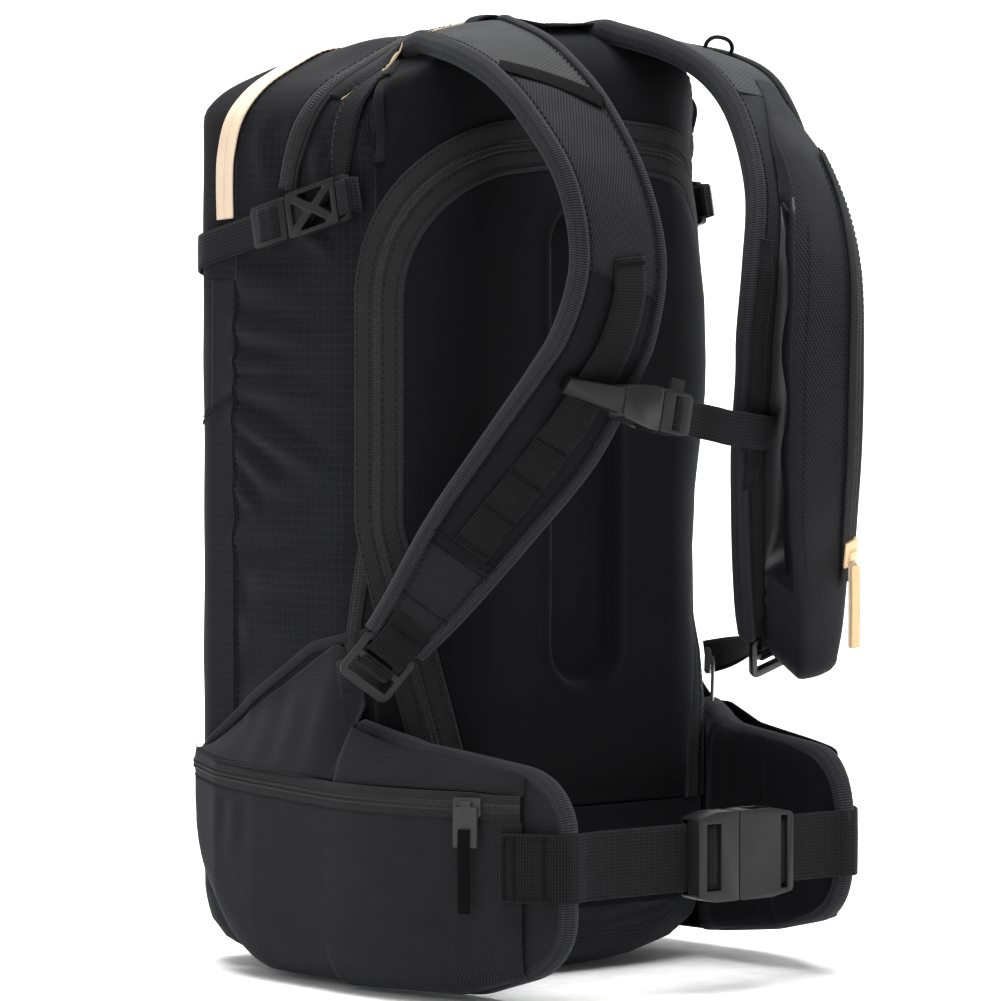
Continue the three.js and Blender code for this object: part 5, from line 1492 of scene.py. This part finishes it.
def across_body(line, lift):
    """The body's cross-section over a slanting line in the side view, from one side over the
    top to the other."""
    line = np.array(line, float)
    run = np.r_[0, np.cumsum(np.linalg.norm(np.diff(line, axis=0), axis=1))]
    fine = np.linspace(0, run[-1], 90)
    y = np.interp(fine, run, line[:, 0])
    z = np.interp(fine, run, line[:, 1])
    top = surface(np.stack([0 * y, y, 0 * y + 300], axis=1), np.tile([0, 0, 1.0], (90, 1)))[:, 2]
    reach = z < top - 1.0
    y, z = y[reach], z[reach]
    left, n_left = on_side(y, z, 1)
    right, n_right = on_side(y, z, -1)
    keep = np.abs(right[:, 0]) > 70
    x = np.linspace(-1, 1, 70)
    side_x = np.abs(right[keep][-1, 0])
    y_last = y[keep][-1]
    slope = (line[-1, 0] - line[-2, 0]) / (line[-1, 1] - line[-2, 1])
    xs = x * side_x * 0.985
    centre = surface(np.stack([xs, 0 * xs + y_last, 0 * xs + 300], axis=1), np.tile([0, 0, 1.0], (70, 1)))
    ys = y_last + slope * (centre[:, 2] - z[keep][-1])
    crown, n_crown = on_top(xs, ys)
    path = np.vstack([right[keep], crown, left[keep][::-1]])
    normals = np.vstack([n_right[keep], n_crown, n_left[keep][::-1]])
    path, normals = even(path, 1.6, normals)
    kernel = np.ones(9) / 9
    pad = lambda a: np.stack([np.convolve(np.pad(a[:, k], 4, mode="edge"), kernel, "valid")
                              for k in range(3)], axis=1)
    return pad(path) + unit(pad(normals)) * lift, unit(pad(normals))


TOOL_ZIP = [(62, 430), (63, 448), (63, 465), (58, 484), (50, 502), (41, 528), (36, 560)]
TOP_ZIP = [(5, 446), (2, 462), (-5, 477), (-13, 491), (-22, 507), (-36, 534), (-44, 570)]


def body_zips():
    path, normals = across_body(TOOL_ZIP, 0.9)
    side = np.cross(tangents(path), normals)
    for sign in (-1, 1):
        band(f"tool_zip_{'front' if sign < 0 else 'back'}_flap",
             ribbon(path + side * sign * 3.9, normals, 7.9, 1.0, crown=0.5), [LIGHT],
             "root", replace=["tool_zip_tape"], slot="light_trim")
    Bundle().grid(coil(path, normals, lift=0.1)[:, 2:7]).done("tool_zip_coil", [LIGHT], "root")
    path, normals = across_body(TOP_ZIP, 0.9)
    band("top_zip_band", ribbon(path, normals, 13.4, 0.9, crown=0.5), [ZIP_CLOTH], "root",
         replace=["top_zip_tape"],
         slot="zip")
    Bundle().grid(coil(path, normals, lift=1.1)).done("top_zip_coil", [COIL], "root")
    side = np.cross(tangents(path), normals)
    band("top_zip_piping", tube(path + side * 8.6, 1.1, normals), [ZIP_CLOTH], "root")
    rows = Bundle()
    for offset in (-8.8, 10.6):
        stitches(rows, path + side * offset, normals, lift=0.5)
    path, normals = across_body(TOOL_ZIP, 1.4)
    side = np.cross(tangents(path), normals)
    for offset in (-9.0, 9.0):
        stitches(rows, path + side * offset - normals * 0.6, normals, lift=0.4)
    rows.done("body_zip_stitches", [THREAD], "root")


body_zips()


def side_trims():
    for hand, side in ((-1, "right"), (1, "left")):
        line = [(-43, 452), (-45, 466), (-48, 482), (-53, 498), (-60, 512)]
        path, normals = wall_path(line, hand)
        band(f"{side}_woven_band", ribbon(path, normals, 17.5, 1.3, crown=0.2, lift=0.4), [WEBBING], "root",
             replace=[f"{side}_side_band"], slot="webbing")
        rows = Bundle()
        edge = np.cross(tangents(path), normals)
        for offset in (-7.4, 7.4):
            stitches(rows, path + edge * offset + normals * 1.7, normals)
        seams = [[(54, 41), (54, 200), (54, 330), (53, 396)], [(54, 330), (76, 321), (92, 313)],
                 [(-66, 196), (-20, 186), (40, 150), (86, 122)], [(-60, 505), (-66, 470), (-70, 446)]]
        for line in seams:
            p, n = wall_path(line, hand)
            shift = np.cross(tangents(p), n)
            rows.band(tube(p + n * 0.3, 0.55, n))
            stitches(rows, p + shift * 2.6 + n * 0.2, n)
        rows.done(f"{side}_side_seams", [THREAD], "root")
        way = np.tile([hand * math.sin(1.06), -math.cos(1.06), 0.0], (60, 1))
        corner = np.stack([np.full(60, hand * FLAT), np.full(60, BACK + BACK_R), np.linspace(462, 519, 60)],
                          axis=1)
        p = surface(corner, way)
        band(f"{side}_yoke_binding", tube(p + way * 0.4, 3.0, way, flat=0.6, sides=12), [SMOOTH], "root")
        p, n = wall_path([(-66, 266), (-61, 240), (-57, 215), (-52, 184)], hand)
        band(f"{side}_vent_tape", ribbon(p, n, 9.5, 0.8, crown=0.4, lift=0.3), [ZIP_CLOTH], "root")
        Bundle().grid(coil(p, n, lift=1.2)).done(f"{side}_vent_coil", [COIL], "root")
        y = np.linspace(-66, 90, 30)
        z = np.interp(y, [-66, -20, 40, 90], [199, 189, 153, 121])
        p, n = on_side(y, z, hand)
        p, n = even(p, 1.6, n)
        band(f"{side}_gusset_binding", ribbon(p, n, 6.0, 0.9, crown=0.5, lift=0.2), [ZIP_CLOTH], "root")


side_trims()


def corner_patch():
    """The coarse gusset at each front corner, under the compression strap."""
    for hand, side in ((-1, "right"), (1, "left")):
        y = np.linspace(54, 76.2, 16)
        lines = []
        for z in np.linspace(0, 1, 34):
            low = np.interp(y, [54, 76.2], [331, 321])
            height = low + (397 - low) * z
            p, n = on_side(y, height, hand)
            lines.append(p + n * 0.5)
        grid(f"{side}_corner_gusset", np.array(lines), [GUSSET], "root", flip=hand < 0, thick=0.5)


corner_patch()


def top_flap():
    """The zip guard over the top: a stiff flap with a raw light edge, open towards the wearer."""
    fixed, fixed_n = across_body([(-22, 499), (-30, 512), (-40, 527), (-45, 545), (-46, 560)], 0.0)
    lip, lip_n = across_body([(-36, 497), (-48, 508), (-61, 522), (-64, 540), (-64, 560)], 0.0)
    sample = lambda a: np.stack([np.interp(np.linspace(0, 1, 180), np.linspace(0, 1, len(a)), a[:, k])
                                 for k in range(3)], axis=1)
    fixed, fixed_n, lip, lip_n = sample(fixed), sample(fixed_n), sample(lip), sample(lip_n)
    x = lip[:, 0]
    rise = 1.2 + 2.6 * step(lip[:, 2], 506, 532) + 0.5 * np.sin(x / 8.5)
    over = np.zeros(len(x))
    for strap in (RIGHT, LEFT):
        line = strap.on(-1.05, np.linspace(0, 1, 30), 2.4)
        line = line[np.argsort(line[:, 0])]
        strap_z = np.interp(x, line[:, 0], line[:, 2], left=0, right=0)
        over = np.maximum(over, np.where(strap_z > 0, strap_z - lip[:, 2], 0))
    kernel = np.hanning(15) / np.hanning(15).sum()
    over = np.convolve(np.pad(np.maximum(over - rise, 0), 7, mode="edge"), kernel, "valid")
    rows, facing = [], []
    for t in np.linspace(0, 1, 14):
        n = unit(fixed_n * (1 - t) + lip_n * t)
        facing.append(n)
        row = fixed + (lip - fixed) * t
        wavy = row + n * (1.4 * (1 - t) + rise * t ** 1.2 + 1.0 * math.sin(math.pi * t))[:, None]
        wavy[:, 1] += t * (1.0 * np.sin(x / 5.5) + 0.9 * np.sin(x / 14.0))
        wavy[:, 2] += over * t ** 1.2
        rows.append(wavy)
    p = np.array(rows)
    grid("top_flap_cloth", p, [SHELL], "root", thick=1.2, replace=["top_flap"], slot="shell", flip=True)
    lip, n = p[-1], unit(np.gradient(p, axis=0)[-1])
    up = unit(np.cross(tangents(lip), n))
    up = up * np.sign(up[90, 2])
    hairy = lip + up * (0.3 * RNG.standard_normal((len(lip), 1)))
    for name, part in (("right", x < -50), ("left", x > 50)):
        uneven = 1.3 + 0.35 * RNG.standard_normal(part.sum())
        band(f"{name}_flap_edge", ribbon((hairy - up * 0.9)[part], n[part], uneven, 0.7), [RAW_EDGE], "root")
    rows = Bundle()
    stitches(rows, p[1], facing[1], lift=-0.1)
    stitches(rows, p[10], facing[10], lift=-0.1)
    rows.done("top_flap_stitches", [THREAD], "root")


top_flap()


def haul():
    x = np.linspace(-57, 57, 60)
    rest, _ = on_top(x, np.full_like(x, -69.5))
    rest[:, 2] += (3.0 + 2.0 * np.exp(-((x + 45) / 9) ** 2) + 2.4 * np.exp(-((x - 45) / 10) ** 2)
                   - 3.0 * step(np.abs(x), 50, 57))
    path = spaced(rest, 140)
    up = np.cross(np.tile([0, 1.0, 0], (141, 1)), tangents(path))
    up = up * np.sign(up[70, 2])
    width = np.interp(np.abs(path[:, 0]), [30, 52], [14, 11])
    band("haul_strap", ribbon(path, up, width, 1.5, crown=0.3), [WEBBING], "haul", replace=["haul_loop"],
         slot="webbing")


haul()


def divider():
    z = np.linspace(42, 524, 90)
    x = np.linspace(-1, 1, 40)
    rows = []
    for h in z:
        right = surface([[0, 55.0, h]], [[-1.0, 0, 0]])[0, 0] + 5.5
        xs = x * abs(right)
        rows.append(np.stack([xs, 55 + 1.5 * np.sin(xs / 31 + h / 60) * (1 - x ** 2), np.full_like(xs, h)],
                             axis=1))
    grid("divider_cloth", np.array(rows), [SHELL], "root", thick=1.2, replace=["divider_panel"], slot="shell")


divider()


def hem_tails():
    """The light pull's woven face and the hip sliders' cord tails."""
    x, down, out, place = LEFT.place(21.0, 0.12, float(sleeve_height(21.0)) + 1.6)
    top = place + down * 5 + out * 4.6
    line = np.array([top + np.array([0, -1.4 - 0.5 * math.sin(t * 3), -2 - 47 * t])
                     for t in np.linspace(0, 1, 60)])
    band("sleeve_pull_tape", ribbon(line, np.tile([0, -1.0, 0], (60, 1)), 6.4, 1.2, crown=0.2), [LIGHT_PULL],
         "sleeve_pull")
    for hand, side in ((-1, "right"), (1, "left")):
        angle = math.asin((-168 - CURVE_Y) / CURVE_R)
        edge = np.array([CURVE_X - CURVE_R * math.cos(angle), -168.0])
        n = np.array([-math.cos(angle), math.sin(angle), 0.0])
        line = np.array([[edge[0], edge[1], 110.0] + n * (8.2 + 0.4 * math.sin(t * 5))
                         + np.array([0, 0, -12 - 46 * t]) for t in np.linspace(0, 1, 60)])
        line[:, 0] *= -hand
        n = n * [-hand, 1, 1]
        band(f"{side}_hip_pull_tape", ribbon(line, np.tile(n, (60, 1)), 6.6, 1.6, crown=0.4), [DARK_WEBBING],
             f"{side}_hip_slider", flip=hand > 0)


hem_tails()


# ---- floor, backdrop and finish ------------------------------------------------------------------
def stage():
    """A pale floor that turns up smoothly into a backdrop behind the pack."""
    bend = np.linspace(0.02, 1, 20) * np.pi / 2
    depth = np.r_[np.linspace(-9, 3, 40), 3 + 2.2 * np.sin(bend), np.full(8, 5.2)]
    height = np.r_[np.zeros(40), 2.2 * (1 - np.cos(bend)), np.linspace(2.4, 9, 8)]
    away = np.array([math.sin(math.radians(40)), math.cos(math.radians(40))])
    side = np.array([away[1], -away[0]])
    rows = []
    for d, h in zip(depth, height):
        rows.append([[*(away * d + side * w), h - 0.0005] for w in np.linspace(-9, 9, 30)])
    p = np.array(rows).reshape(-1, 3)
    faces = [(r * 30 + c, r * 30 + c + 1, (r + 1) * 30 + c + 1, (r + 1) * 30 + c)
             for r in range(len(rows) - 1) for c in range(29)]
    data = bpy.data.meshes.new("floor")
    data.from_pydata(p.tolist(), [], faces)
    data.polygons.foreach_set("use_smooth", np.full(len(faces), True))
    paper = Shader("backdrop_paper")
    grain = paper.noise(120, 2.0)
    data.materials.append(paper.finish((0.9, 0.9, 0.9), grain, deep=0.97, bright=1.0, bump=0.02,
                                       rough=(0.85, 0.9), sheen=0.0))
    floor = bpy.data.objects.new("floor", data)
    bpy.context.scene.collection.objects.link(floor)


stage()
STUDIO_FILL = 0.36
world = bpy.data.worlds.new("studio")
world.use_nodes = True
world.node_tree.nodes["Background"].inputs[0].default_value = (1, 1, 1, 1)
world.node_tree.nodes["Background"].inputs[1].default_value = STUDIO_FILL
bpy.context.scene.world = world
